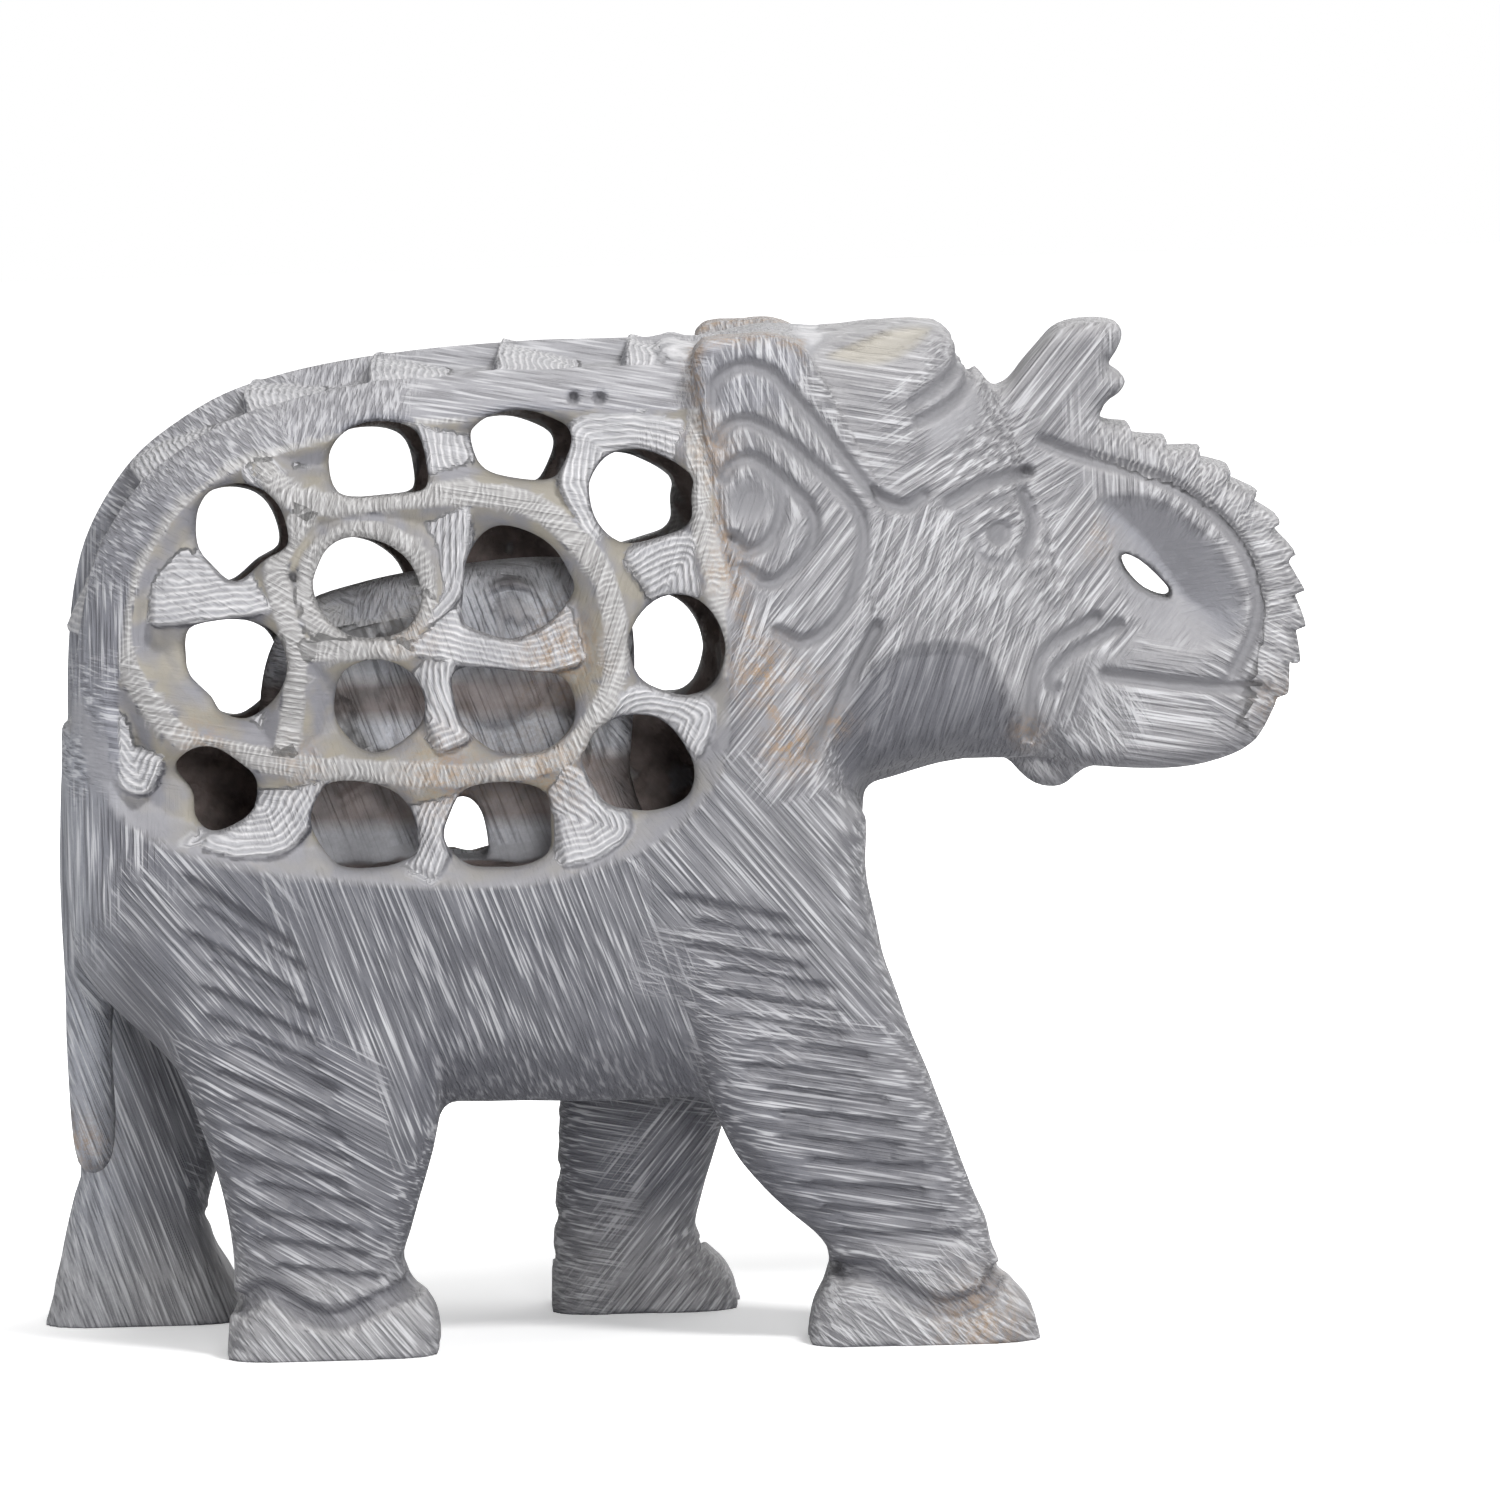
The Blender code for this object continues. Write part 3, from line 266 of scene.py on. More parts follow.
# The head's width along X, as a share of HEAD_WIDTH
HEAD_TAPER = [(5, 1), (22, 0.98), (30, 0.86), (36, 0.7), (44, 0.5), (60, 0.4)]

# The edge of the raised trunk that is cut into saw teeth
TRUNK_EDGE = [(44.6, 91.2), (50.4, 88.8), (54.7, 87.2), (59, 84), (62.2, 80.2), (63.9, 75.8),
              (64.6, 71), (63.8, 66), (62, 61.6)]

# A wavy groove marks the toes of each foot
TOES = {
    "left": [[(-43.8, 5.4), (-41, 7), (-38, 5), (-34, 4), (-30, 5.6), (-27, 6.6)],
             [(16.5, 7.4), (19, 7.4), (22, 5.4), (26, 3.6), (30, 4.4), (31.5, 6.2)]],
    "right": [[(-61.5, 5.5), (-58, 7), (-54, 4.6), (-50, 5.4)],
              [(-12, 5.5), (-8, 7), (-4, 4.6), (1, 5.6)]],
}

# The belly draws in between these heights
BELLY_TOP = 47.0
BELLY_FOOT = 25.0

# The furrow between the domes of the head: from the nape to the brow, and its lowest point
NAPE = 12.0
BROW = 33.0
PARTING_FOOT = 92.0

# Finer carving that only the finished stone has, in the same millimetres, and the block of stone
# that the field is worked out in
BLOCK_LOW = (-66.0, -29.5, -2.0)
BLOCK_HIGH = (66.8, 29.5, 104.0)
GRID_STEP = 0.4
FACET_COUNT = 195000
GOUGE_DEPTH = 1.0
GOUGE_WIDTH = 2.4
GOUGE_LIP = 0.35
EYE_DEPTH = 0.9
SCRATCH_WIDTH = 0.9
SCRATCH_DEPTH = 0.5
DRILL_WIDTH = 1.3
DRILL_DEPTH = 1.5
RIB_PITCH = 0.66
HATCH_PITCH = 0.6
TRUNK_HATCH_WIDTH = 4.0
EAR_ROOT = 16.0
UNEVENNESS = 0.12
HOLLOW_ROUGHNESS = 0.45
CALF_LINE_WIDTH = 1.2
CALF_LINE_DEPTH = 0.6

# Chisel gouges down each leg: the first and the last one, from left end to right end, and how many
GOUGES = {
    "left": [(((-47.5, 48.5), (-38, 42)), ((-40.5, 9.5), (-31, 8.2)), 15),
             (((1.5, 45.5), (11.5, 43)), ((16, 11.5), (27, 11)), 15)],
    "right": [(((-58, 42), (-48, 38)), ((-60, 10), (-50, 9)), 13),
              (((-11, 40), (-2, 37)), ((-11.5, 10), (-1, 9)), 13)],
}
DRILL_DOTS = [(-36.6, 78.2), (-8.2, 95.2), (-5.6, 95.1)]
CALF_LINES = [
    [(-19.4, 68), (-18.6, 73), (-16, 75.2), (-13, 74.4), (-11.6, 71)],
    [(-17.6, 67), (-17.2, 73)], [(-15.4, 72), (-14.6, 68), (-14, 71.5)], [(-12.6, 69), (-13.4, 72)],
    [(-28.4, 70), (-27.6, 59)], [(-25.9, 70), (-25.4, 60)], [(-33, 57), (-29, 59), (-25, 57)],
    [(-33, 54.5), (-29, 56.5), (-25, 54.5)], [(-6, 72), (-5, 66), (-6, 58)],
]

# Thin cuts around the eye, the planed wedge of the forehead, and the line in the bowl of the trunk
# that parts its rough back, on the right, from its smooth slope
EYE_LINES = [[(28.3, 83.9), (31.5, 85), (35.1, 85.6)], [(29.9, 81.9), (32.4, 83.2), (35, 83.7)],
             [(31.4, 79.6), (32.2, 77.8), (34.4, 77.2)]]
FOREHEAD_PLANE = [(27.5, 96.5), (30.5, 98), (33, 93.5), (31.5, 90.5), (27, 88.5), (26.5, 90)]
BOWL_LINE = ((44, 82), (56.5, 67.5))

# The lean of the file marks, patch by patch: X, Z and degrees from upright, foot to the right
STROKES = [
    (-57, 75, 8), (-57, 50, 8), (-50, 44, 35), (-42, 40, 35), (-35, 42, 25), (-20, 40, 14),
    (-5, 42, 12), (-20, 30, 16), (-5, 30, 20), (-40, 25, 62), (-36, 12, 66), (-34, 3, 40),
    (5, 35, 70), (10, 22, 74), (20, 12, 76), (24, 3, 50), (15, 45, 48), (5, 50, 46),
    (-58, 20, 20), (-55, 5, 15), (-9, 14, 78), (-1, 12, -38), (25, 64, -12), (32, 62, -18),
    (28, 76, -30), (22, 95, 78), (30, 90, -52), (34, 86, -60), (40, 72, -40), (38, 64, -20),
    (10, 92, 10), (8, 78, -20), (15, 76, -32), (13, 65, -38), (40, 96, -40), (50, 92, -8),
    (58, 88, -30), (63, 76, -75), (60, 64, 60), (50, 60, 72), (42, 60, 30), (-20, 98, 82),
    (-45, 94, 50), (-5, 98, 86), (-30, 93, -10), (-50, 80, 60), (-52, 66, 80), (-20, 58, 20),
]

STROKE_LEANS = range(-80, 81, 20)
STROKE_PATCH = 6.0
STROKE_SWAY = 2.5
MARK_PITCH = 0.29
MARK_LENGTH = 11.0

# Painted shadow bands in the hollow's brown across the sides of the calf, under the lattice rings,
# from one height to another
CALF_SHADOW_BANDS = [(51.2, 59.5), (62, 67.4)]

# Rusty stains: X, Z, spread and strength
STAINS = [(5.2, 90, 2.2, 0.5), (6.6, 78, 2.2, 0.6), (9.6, 68, 2.6, 0.9), (12.5, 60, 2.2, 0.9),
          (14.5, 66, 1.6, 0.5), (17, 62, 1.4, 0.5), (36.5, 60, 1.5, 0.5), (62, 62, 2.5, 0.35),
          (30, 2, 4.0, 0.6), (-60.5, 20, 2.4, 0.6), (-10, 70, 3.5, 0.8), (-22, 58, 4.0, 0.6),
          (-12, 58.5, 4.0, 0.6), (-36, 59.5, 2.5, 0.35), (-46, 62, 2.5, 0.4), (-25, 72, 2.5, 0.4),
          (44, 79, 1.5, 0.4)]


def smooth_curve(points, closed=False, pieces=4):
    """A rounded curve through the points."""
    line = np.array(points, dtype=float)
    if closed:
        line = np.vstack([line[-1], line, line[0], line[1]])
    else:
        line = np.vstack([2 * line[0] - line[1], line, 2 * line[-1] - line[-2]])
    result = []
    for before, start, end, after in zip(line, line[1:], line[2:], line[3:]):
        for step in range(pieces):
            t = step / pieces
            result.append(0.5 * (2 * start + (end - before) * t
                                 + (2 * before - 5 * start + 4 * end - after) * t ** 2
                                 + (3 * start - before - 3 * end + after) * t ** 3))
    if not closed:
        result.append(line[-2])
    return np.array(result)


def path_distance(points, x, z):
    """Distance to a drawn line, and how far along the line the nearest point is."""
    line = smooth_curve(points)
    nearest = np.full(np.broadcast(x, z).shape, np.inf)
    along = np.zeros(nearest.shape)
    travelled = 0.0
    for (ax, az), (bx, bz) in zip(line, line[1:]):
        length = math.hypot(bx - ax, bz - az)
        t = np.clip(((x - ax) * (bx - ax) + (z - az) * (bz - az)) / length ** 2, 0, 1)
        distance = np.hypot(x - ax - t * (bx - ax), z - az - t * (bz - az))
        closer = distance < nearest
        along = np.where(closer, travelled + t * length, along)
        nearest = np.minimum(nearest, distance)
        travelled += length
    return nearest, along


def outline_distance(points, x, z):
    """Distance to a closed outline, negative inside it."""
    line = smooth_curve(points, closed=True)
    nearest = np.full(np.broadcast(x, z).shape, np.inf)
    inside = np.zeros(nearest.shape, dtype=bool)
    for (ax, az), (bx, bz) in zip(line, np.roll(line, -1, axis=0)):
        dx, dz = bx - ax, bz - az
        t = np.clip(((x - ax) * dx + (z - az) * dz) / (dx * dx + dz * dz), 0, 1)
        nearest = np.minimum(nearest, np.hypot(x - ax - t * dx, z - az - t * dz))
        if dz != 0:
            crossing = ((az > z) != (bz > z)) & (x < ax + (z - az) * dx / dz)
            inside ^= crossing
    return np.where(inside, -nearest, nearest)


def rounded(a, b, radius):
    """The part shared by two forms, with its edge rounded."""
    return (np.sqrt(np.maximum(a + radius, 0) ** 2 + np.maximum(b + radius, 0) ** 2)
            + np.minimum(np.maximum(a + radius, b + radius), 0) - radius)


def joined(a, b, blend):
    """Two forms as one, flowing into each other."""
    overlap = np.maximum(blend - np.abs(a - b), 0) / blend
    return np.minimum(a, b) - overlap ** 2 * blend / 4


def cut(form, tool, edge):
    """A form with a tool's shape taken away, its rim eased."""
    return -joined(-form, tool, edge)


def furrow(distance, width, depth):
    """Depth of a flat-bottomed groove at a distance from its middle."""
    return depth * np.clip((0.6 * width - distance) / (0.4 * width), 0, 1)


def float32(values):
    return np.asarray(values, dtype=np.float32)


def soft_noise(x, y, z, size, seed):
    """A smooth uneven value between about -1 and 1, with bumps of the given size."""
    total = 0
    for turn in range(3):
        a = seed + 2.1 * turn
        total = total + (np.sin(x / size * 2.9 * math.cos(a) + y / size * 2.3 * math.sin(a) + a)
                         * np.sin(z / size * 2.7 * math.cos(a + 1) + y / size * 1.9 + 3 * a)
                         * np.sin(x / size * 1.7 + z / size * 2.2 * math.sin(a) + 5 * a))
    return total / 1.2


def slab(x, y, z, outline, half_width, radius, middle=0.0):
    """A side outline with a width, its edges rounded."""
    side = outline_distance(outline, x, z)
    return rounded(side, np.abs(y - middle) - half_width, radius)


def mother(x, y, z):
    """The body with its legs and tail."""
    half = DRAWN_WIDTH / 2
    edge = float32(np.interp(z, *zip(*BODY_ROUNDING)))
    tuck = np.clip((BELLY_TOP - z) / (BELLY_TOP - BELLY_FOOT), 0, 1)
    body = slab(x, y, z, BODY, half - BELLY_TUCK * float32(tuck ** 1.5), edge)
    side = LEG_SPREAD + half - LEG_WIDTH / 2
    flare = float32(FOOT_FLARE * np.exp(-(z / FLARE_HEIGHT) ** 2))
    for outline, middle in ((NEAR_HIND_LEG, -side), (NEAR_FRONT_LEG, -side),
                            (FAR_HIND_LEG, side), (FAR_FRONT_LEG, side)):
        leg = slab(x, y, z, outline, LEG_WIDTH / 2 - ANKLE_TUCK + flare, LEG_ROUNDING, middle)
        body = joined(body, leg, 2.0)
    tail = slab(x, y, z, TAIL, TAIL_WIDTH / 2, TAIL_ROUNDING, 1.0)
    return joined(body, tail, 1.5)


def trunk_teeth(x, z):
    """How far the saw teeth stand out from the edge of the trunk, or are cut into it."""
    distance, along = path_distance(TRUNK_EDGE, x, z)
    tooth = (along / TOOTH_PITCH) % 1 - 0.6
    return TOOTH_HEIGHT * tooth * np.clip(1 - distance / TOOTH_REACH, 0, 1) * (along > 0)


def head(x, y, z):
    half = HEAD_WIDTH / 2 * float32(np.interp(x, *smooth_curve(HEAD_TAPER).T))
    form = slab(x, y, z, HEAD, half, np.minimum(HEAD_ROUNDING, half - 1))
    jaw = slab(x, y, z, LIP, LIP_WIDTH / 2, 1.5)
    form = joined(form, jaw, 1.0)
    side = outline_distance(TRUNK, x, z) - trunk_teeth(x, z)
    trunk = rounded(side, np.abs(y) - TRUNK_WIDTH / 2, TRUNK_ROUNDING)
    return joined(form, trunk, 2.0)


def pad_fall(crest, x, z):
    """How far down the slope from its crest a place lies, and how far past the crest's ends."""
    line = smooth_curve(crest)
    nearest = np.full(np.broadcast(x, z).shape, np.inf)
    fall = np.zeros(nearest.shape)
    past = np.zeros(nearest.shape)
    last = len(line) - 2
    for number, ((ax, az), (bx, bz)) in enumerate(zip(line, line[1:])):
        length = math.hypot(bx - ax, bz - az)
        ux, uz = (bx - ax) / length, (bz - az) / length
        along = (x - ax) * ux + (z - az) * uz
        on_line = np.clip(along, 0, length)
        distance = np.hypot(x - ax - on_line * ux, z - az - on_line * uz)
        right = (x - ax) * uz - (z - az) * ux
        beyond = np.maximum(-along * (number == 0), (along - length) * (number == last))
        closer = distance < nearest
        fall = np.where(closer, np.sign(right) * distance, fall)
        past = np.where(closer, np.maximum(beyond, 0), past)
        nearest = np.minimum(nearest, distance)
    return fall, past


def flank(x, z):
    """Relief of the pierced flank: its depth, its border, and where ridges and pads lie."""
    border = np.clip(-outline_distance(LATTICE, x, z) * BORDER_SLOPE, 0, RELIEF_DEPTH)
    ridge = np.full(border.shape, -RELIEF_DEPTH)
    hatch = np.zeros(border.shape)
    for line in RIDGES:
        distance, along = path_distance(line, x, z)
        rise = -np.maximum(distance - RIDGE_WIDTH / 2, 0) * RIDGE_SLOPE
        hatch = np.where(rise > ridge, along, hatch)
        ridge = np.maximum(ridge, rise)
    height = ridge
    rib = np.zeros(border.shape)
    padded = np.zeros(border.shape, dtype=bool)
    for crest, reach in PADS:
        fall, past = pad_fall(crest, x, z)
        pad = -np.maximum(fall, 0) * RELIEF_DEPTH / reach - np.maximum(-fall, 0) * 4 - past * 2
        higher = (pad > height) & (fall > -0.2)
        rib = np.where(higher, fall, rib)
        padded |= higher
        height = np.maximum(height, pad)
    return {"depth": np.minimum(-height, border), "border": border, "ridge": ridge,
            "height": height, "rib": rib, "padded": padded, "hatch": hatch}


def back(x, y, z, side, body_side):
    """The strip over rump and back is cut in its own steps."""
    spine = [BACK_START] + BODY[2:12]
    along = path_distance(spine, x, z)[1]
    height = np.full(along.shape, -BACK_DEPTH)
    rib = np.zeros(along.shape)
    for crest, foot in BACK_PADS:
        fall = along - crest
        ramp = -np.maximum(fall, 0) * BACK_DEPTH / (foot - crest) - np.maximum(-fall, 0) * 3
        higher = (ramp > height) & (fall > -0.2)
        rib = np.where(higher, fall, rib)
        height = np.maximum(height, ramp)
    from_ridge = np.minimum(np.maximum(np.abs(y) - SPINE_HALF_WIDTH, 0),
                            np.maximum(BACK_HALF_WIDTH - np.abs(y), 0))
    ridge = -from_ridge * RIDGE_SLOPE
    strip = float32(np.clip((body_side + 7.5) / 2.5, 0, 1))
    cut_back = np.minimum(-np.maximum(float32(height), ridge), float32(side["border"]))
    return {"depth": float32(side["depth"]) * (1 - strip) + cut_back * strip, "strip": strip,
            "rib": rib, "height": height, "ridge": ridge}


def right_place(x, z):
    """Where a place on the right flank lies in the drawing of the left flank's lattice."""
    return x - RIGHT_OFFSET[0], z - RIGHT_OFFSET[1]


def hole_tools(outlines, x, z):
    """Distance to the nearest hole, negative inside it."""
    tool = np.full(np.broadcast(x, z).shape, np.inf)
    for outline in outlines:
        tool = np.minimum(tool, outline_distance(outline, x, z))
    return tool - HOLE_GROWTH


def hollow(x, y, z, body_side):
    """The room inside the body, over the floor that the calf stands on."""
    half = DRAWN_WIDTH / 2 - WALL
    room = rounded(np.maximum(body_side + WALL, x - CAVITY_FRONT), np.abs(y) - half, CAVITY_EDGE)
    return rounded(room, CAVITY_FLOOR - z, 2.0)


def calf(x, y, z):
    form = slab(x, y, z, CALF, CALF_WIDTH / 2, CALF_ROUNDING)
    form = cut(form, float32(outline_distance(CALF_GAP, x, z)), 1.0)
    form = joined(form, slab(x, y, z, CALF_EAR, CALF_WIDTH / 2 + CALF_EAR_STEP, 1.0), 0.8)
    depth = np.zeros(np.broadcast(x, z).shape)
    for line in CALF_LINES:
        distance = path_distance(line, x, z)[0]
        depth = np.maximum(depth, furrow(distance, CALF_LINE_WIDTH, CALF_LINE_DEPTH))
    return form + float32(depth)


def gouge(line, x, z):
    """Depth of a slanting chisel cut: sheer along its line, then sloping out below it."""
    fall, past = pad_fall(line, x, z)
    profile = np.minimum(np.clip(1 - fall / GOUGE_WIDTH, 0, 1), np.clip(1 + fall / GOUGE_LIP, 0, 1))
    return GOUGE_DEPTH * profile * np.clip(1 - past / 2.5, 0, 1)


def gouge_lines(first, last, count):
    """Evenly spaced lines from the first to the last one, each a little out of step."""
    for number in range(count):
        share = number / (count - 1)
        sway = 0.9 * math.sin(2.4 * number)
        yield [(a[0] + (b[0] - a[0]) * share + sway, a[1] + (b[1] - a[1]) * share)
               for a, b in zip(first, last)]


def leg_cuts(x, y, z):
    """Depth of the chisel gouges and toe grooves on the outer side of each leg."""
    depth = 0
    for side, sign in (("left", -1), ("right", 1)):
        cuts = np.zeros(np.broadcast(x, z).shape)
        for first, last, count in GOUGES[side]:
            for line in gouge_lines(first, last, count):
                cuts = np.maximum(cuts, gouge(line, x, z))
        for line in TOES[side]:
            cuts = np.maximum(cuts, furrow(path_distance(line, x, z)[0], TOE_WIDTH, TOE_DEPTH))
        depth = depth + float32(cuts) * float32(np.clip((sign * y - 12) / 6, 0, 1))
    return depth


def head_cuts(x, z):
    """Depth of the fine lines on the head and on the flank's border, and of the trunk's bowl."""
    lines = np.zeros(np.broadcast(x, z).shape)
    for line in GROOVES:
        lines = np.maximum(lines, furrow(path_distance(line, x, z)[0], GROOVE_WIDTH, GROOVE_DEPTH))
    from_pit = np.hypot(x - EAR_PIT[0], z - EAR_PIT[1])
    lines = np.maximum(lines, furrow(from_pit, 2 * EAR_PIT_RADIUS, GROOVE_DEPTH))
    from_eye = np.hypot(x - EYE[0], z - EYE[1])
    lines = np.maximum(lines, EYE_DEPTH * np.clip((EYE_RADIUS - from_eye) / GOUGE_LIP, 0, 1))
    for line in EYE_LINES:
        scratch = furrow(path_distance(line, x, z)[0], SCRATCH_WIDTH, SCRATCH_DEPTH)
        lines = np.maximum(lines, scratch)
    for dot in DRILL_DOTS:
        from_dot = np.hypot(x - dot[0], z - dot[1])
        lines = np.maximum(lines, furrow(from_dot, DRILL_WIDTH, DRILL_DEPTH))
    dish = np.clip(-outline_distance(TRUNK_DISH, x, z) * 0.9, 0, DISH_DEPTH)
    dish = dish + np.maximum(-outline_distance(TRUNK_HOLE, x, z), 0) * 20
    return lines, dish


def parting(x, y, z):
    """The furrow between the two domes of the head."""
    return (PARTING_DEPTH * np.exp(-(y / PARTING_WIDTH) ** 2)
            * np.clip((z - PARTING_FOOT) / 4, 0, 1) * np.clip((x - NAPE) / 5, 0, 1) * (x < BROW))


def carve_elephant(x, y, z):
    """The whole carving as a distance, negative inside the stone."""
    body_side = float32(outline_distance(BODY, x, z))
    left = back(x, y, z, flank(x, z), body_side)["depth"]
    right = back(x, y, z, flank(*right_place(x, z)), body_side)["depth"]
    form = mother(x, y, z) + np.where(y < 0, left, right)
    form = joined(form, head(x, y, z), 1.5)
    ear_half = DRAWN_WIDTH / 2 + EAR_STEP - float32(np.interp(x, [5, 22], [0, 4.2]))
    ears = rounded(slab(x, y, z, EAR, ear_half, 1.4), EAR_ROOT - np.abs(y), 1.0)
    form = joined(form, ears, 0.6)
    form = form + UNEVENNESS * float32(soft_noise(x, y, z, 7.0, 1.0))

    room = hollow(x, y, z, body_side) + HOLLOW_ROUGHNESS * float32(soft_noise(x, y, z, 3.2, 4.0))
    form = cut(form, room, 1.0)
    left_holes = float32(hole_tools(HOLES + LEFT_HOLES, x, z))
    right_holes = float32(hole_tools(HOLES, *right_place(x, z)))
    holes = np.where(y < 0, left_holes, right_holes)
    form = cut(form, np.maximum(holes, HOLE_REACH - np.abs(y)), 1.2)
    form = joined(form, calf(x, y, z), 1.5)

    lines, dish = head_cuts(x, z)
    form = form + float32(lines) * (np.abs(y) > GROOVE_INNER) + float32(dish)
    recess = np.clip(-outline_distance(NECK, x, z) * 0.8, 0, NECK_DEPTH)
    recess = recess + np.clip(-outline_distance(CROWN_SCOOP, x, z), 0, SCOOP_DEPTH)
    form = form + float32(recess) * np.clip((np.abs(y) - RECESS_INNER) / 4, 0, 1)
    form = form + float32(parting(x, y, z)) + leg_cuts(x, y, z)
    return np.maximum(form, -z)


class Nodes:
    """A node tree, with short ways to add and join nodes."""

    def __init__(self, tree):
        self.tree = tree

    def node(self, kind, inputs=(), **settings):
        made = self.tree.nodes.new(kind)
        for name, value in settings.items():
            setattr(made, name, value)
        for socket, value in dict(inputs).items():
            self.feed(made.inputs[socket], value)
        return made

    def feed(self, socket, value):
        if isinstance(value, bpy.types.NodeSocket):
            self.tree.links.new(value, socket)
        elif isinstance(value, bpy.types.Node):
            self.tree.links.new(value.outputs[0], socket)
        else:
            socket.default_value = value

    def math(self, operation, a, b=0.0, c=0.0, clamp=False):
        return self.node("ShaderNodeMath", {0: a, 1: b, 2: c}, operation=operation, use_clamp=clamp)

    def whole_math(self, operation, a, b):
        return self.node("FunctionNodeIntegerMath", {0: a, 1: b}, operation=operation)

    def times(self, a, b):
        return self.math("MULTIPLY", a, b)

    def vector(self, operation, a, b=(0, 0, 0)):
        return self.node("ShaderNodeVectorMath", {0: a, 1: b}, operation=operation)

    def ramp(self, value, low, high, to_low=0.0, to_high=1.0):
        return self.node("ShaderNodeMapRange", {"Value": value, "From Min": low, "From Max": high,
                                                "To Min": to_low, "To Max": to_high})

    def noise(self, vector, scale, detail=2.0, roughness=0.5):
        return self.node("ShaderNodeTexNoise", {"Vector": vector, "Scale": scale, "Detail": detail,
                                                "Roughness": roughness})

    def blend(self, factor, a, b):
        made = self.node("ShaderNodeMix", data_type="RGBA")
        self.feed(made.inputs[0], factor)
        self.feed(made.inputs[6], a)
        self.feed(made.inputs[7], b)
        return made.outputs[2]

    def measured(self, name):
        return self.node("ShaderNodeAttribute", attribute_name=name).outputs["Fac"]


def new_group(name, kind, inputs, outputs):
    """A node group with named sockets: its nodes, what it is given, and its output node."""
    tree = bpy.data.node_groups.new(name, kind)
    for way, sockets in (("INPUT", inputs), ("OUTPUT", outputs)):
        for socket, sort in sockets.items():
            tree.interface.new_socket(socket, in_out=way, socket_type="NodeSocket" + sort)
    nodes = Nodes(tree)
    return nodes, nodes.node("NodeGroupInput").outputs, nodes.node("NodeGroupOutput")


def field_to_mesh_tree():
    """A node tree that reads the field from the points of a grid and skins its zero level."""
    nodes, given, result = new_group(
        "field_to_mesh", "GeometryNodeTree",
        {"Geometry": "Geometry", "Low corner": "Vector", "High corner": "Vector",
         "Count X": "Int", "Count Y": "Int", "Count Z": "Int", "Material": "Material"},
        {"Geometry": "Geometry"})
    place = nodes.node("GeometryNodeInputPosition")
    from_low = nodes.vector("SUBTRACT", place, given["Low corner"])
    span = nodes.vector("SUBTRACT", given["High corner"], given["Low corner"])
    share = nodes.node("ShaderNodeSeparateXYZ", {0: nodes.vector("DIVIDE", from_low, span)})
    index = 0
    for axis in "XYZ":
        count = given["Count " + axis]
        steps = nodes.times(share.outputs[axis], nodes.math("SUBTRACT", count, 1.0))
        whole = nodes.node("FunctionNodeFloatToInt", {0: steps}, rounding_mode="ROUND")
        index = nodes.whole_math("ADD", nodes.whole_math("MULTIPLY", index, count), whole)

    stored = nodes.node("GeometryNodeInputNamedAttribute", {"Name": "field"}, data_type="FLOAT")
    sample = nodes.node("GeometryNodeSampleIndex",
                        {"Geometry": given["Geometry"], "Value": stored.outputs["Attribute"],
                         "Index": index}, data_type="FLOAT")
    cube = nodes.node("GeometryNodeVolumeCube",
                      {"Density": sample.outputs["Value"], "Background": -1.0,
                       "Min": given["Low corner"], "Max": given["High corner"]})
    for axis in "XYZ":
        nodes.feed(cube.inputs["Resolution " + axis], given["Count " + axis])
    skin = nodes.node("GeometryNodeVolumeToMesh", {"Volume": cube, "Threshold": 0.0})
    plain = nodes.node("GeometryNodeRealizeInstances", {0: skin})
    stone = nodes.node("GeometryNodeSetMaterial",
                       {"Geometry": plain, "Material": given["Material"]})
    nodes.feed(result.inputs[0], stone)
    return nodes.tree


def skin_field(name, block, form, material):
    """The surface of the field inside the block, as a mesh in metres."""
    low, high, count = block
    points = bpy.data.meshes.new(name + "_grid")
    points.vertices.add(form.size)
    stored = points.attributes.new("field", "FLOAT", "POINT")
    stored.data.foreach_set("value", -form.astype(np.float32).ravel())
    holder = bpy.data.objects.new(name + "_grid", points)
    bpy.context.scene.collection.objects.link(holder)
    modifier = holder.modifiers.new("skin", "NODES")
    modifier.node_group = field_to_mesh_tree()
    socket = {item.name: item.identifier for item in modifier.node_group.interface.items_tree
              if item.in_out == "INPUT"}
    size = np.array([SCALE, SIDE, SCALE]) * MILLIMETRE
    modifier[socket["Low corner"]] = [float(value) for value in low * size]
    modifier[socket["High corner"]] = [float(value) for value in high * size]
    for axis, number in zip("XYZ", count):
        modifier[socket["Count " + axis]] = int(number)
    modifier[socket["Material"]] = material
    evaluated = holder.evaluated_get(bpy.context.evaluated_depsgraph_get())
    mesh = bpy.data.meshes.new_from_object(evaluated)
    bpy.data.objects.remove(holder)
    return mesh


def stone_block():
    """The block of stone as a grid of points: its corners and its number of points each way."""
    low = np.array(BLOCK_LOW)
    count = np.round((np.array(BLOCK_HIGH) - low) / GRID_STEP).astype(int) + 1
    return low, low + (count - 1) * GRID_STEP, count


def stroke_shares(x, y, z):
    """How much of the filing at each point leans each way."""
    place_x = x + STROKE_SWAY * soft_noise(x, y, z, 5.0, 2.0)
    place_z = z + STROKE_SWAY * soft_noise(x, y, z, 5.0, 7.0)
    spread = 90 / len(STROKE_LEANS)
    shares = np.zeros((len(STROKE_LEANS),) + x.shape)
    total = np.full(x.shape, 1e-9)
    for seed_x, seed_z, seed_lean in STROKES:
        weight = np.exp(-((place_x - seed_x) ** 2 + (place_z - seed_z) ** 2) / STROKE_PATCH ** 2)
        total += weight
        for number, lean in enumerate(STROKE_LEANS):
            apart = abs((seed_lean - lean + 90) % 180 - 90)
            shares[number] += weight * (apart <= spread)
    return {"strokes_" + str(lean): share for lean, share in zip(STROKE_LEANS, shares / total)}


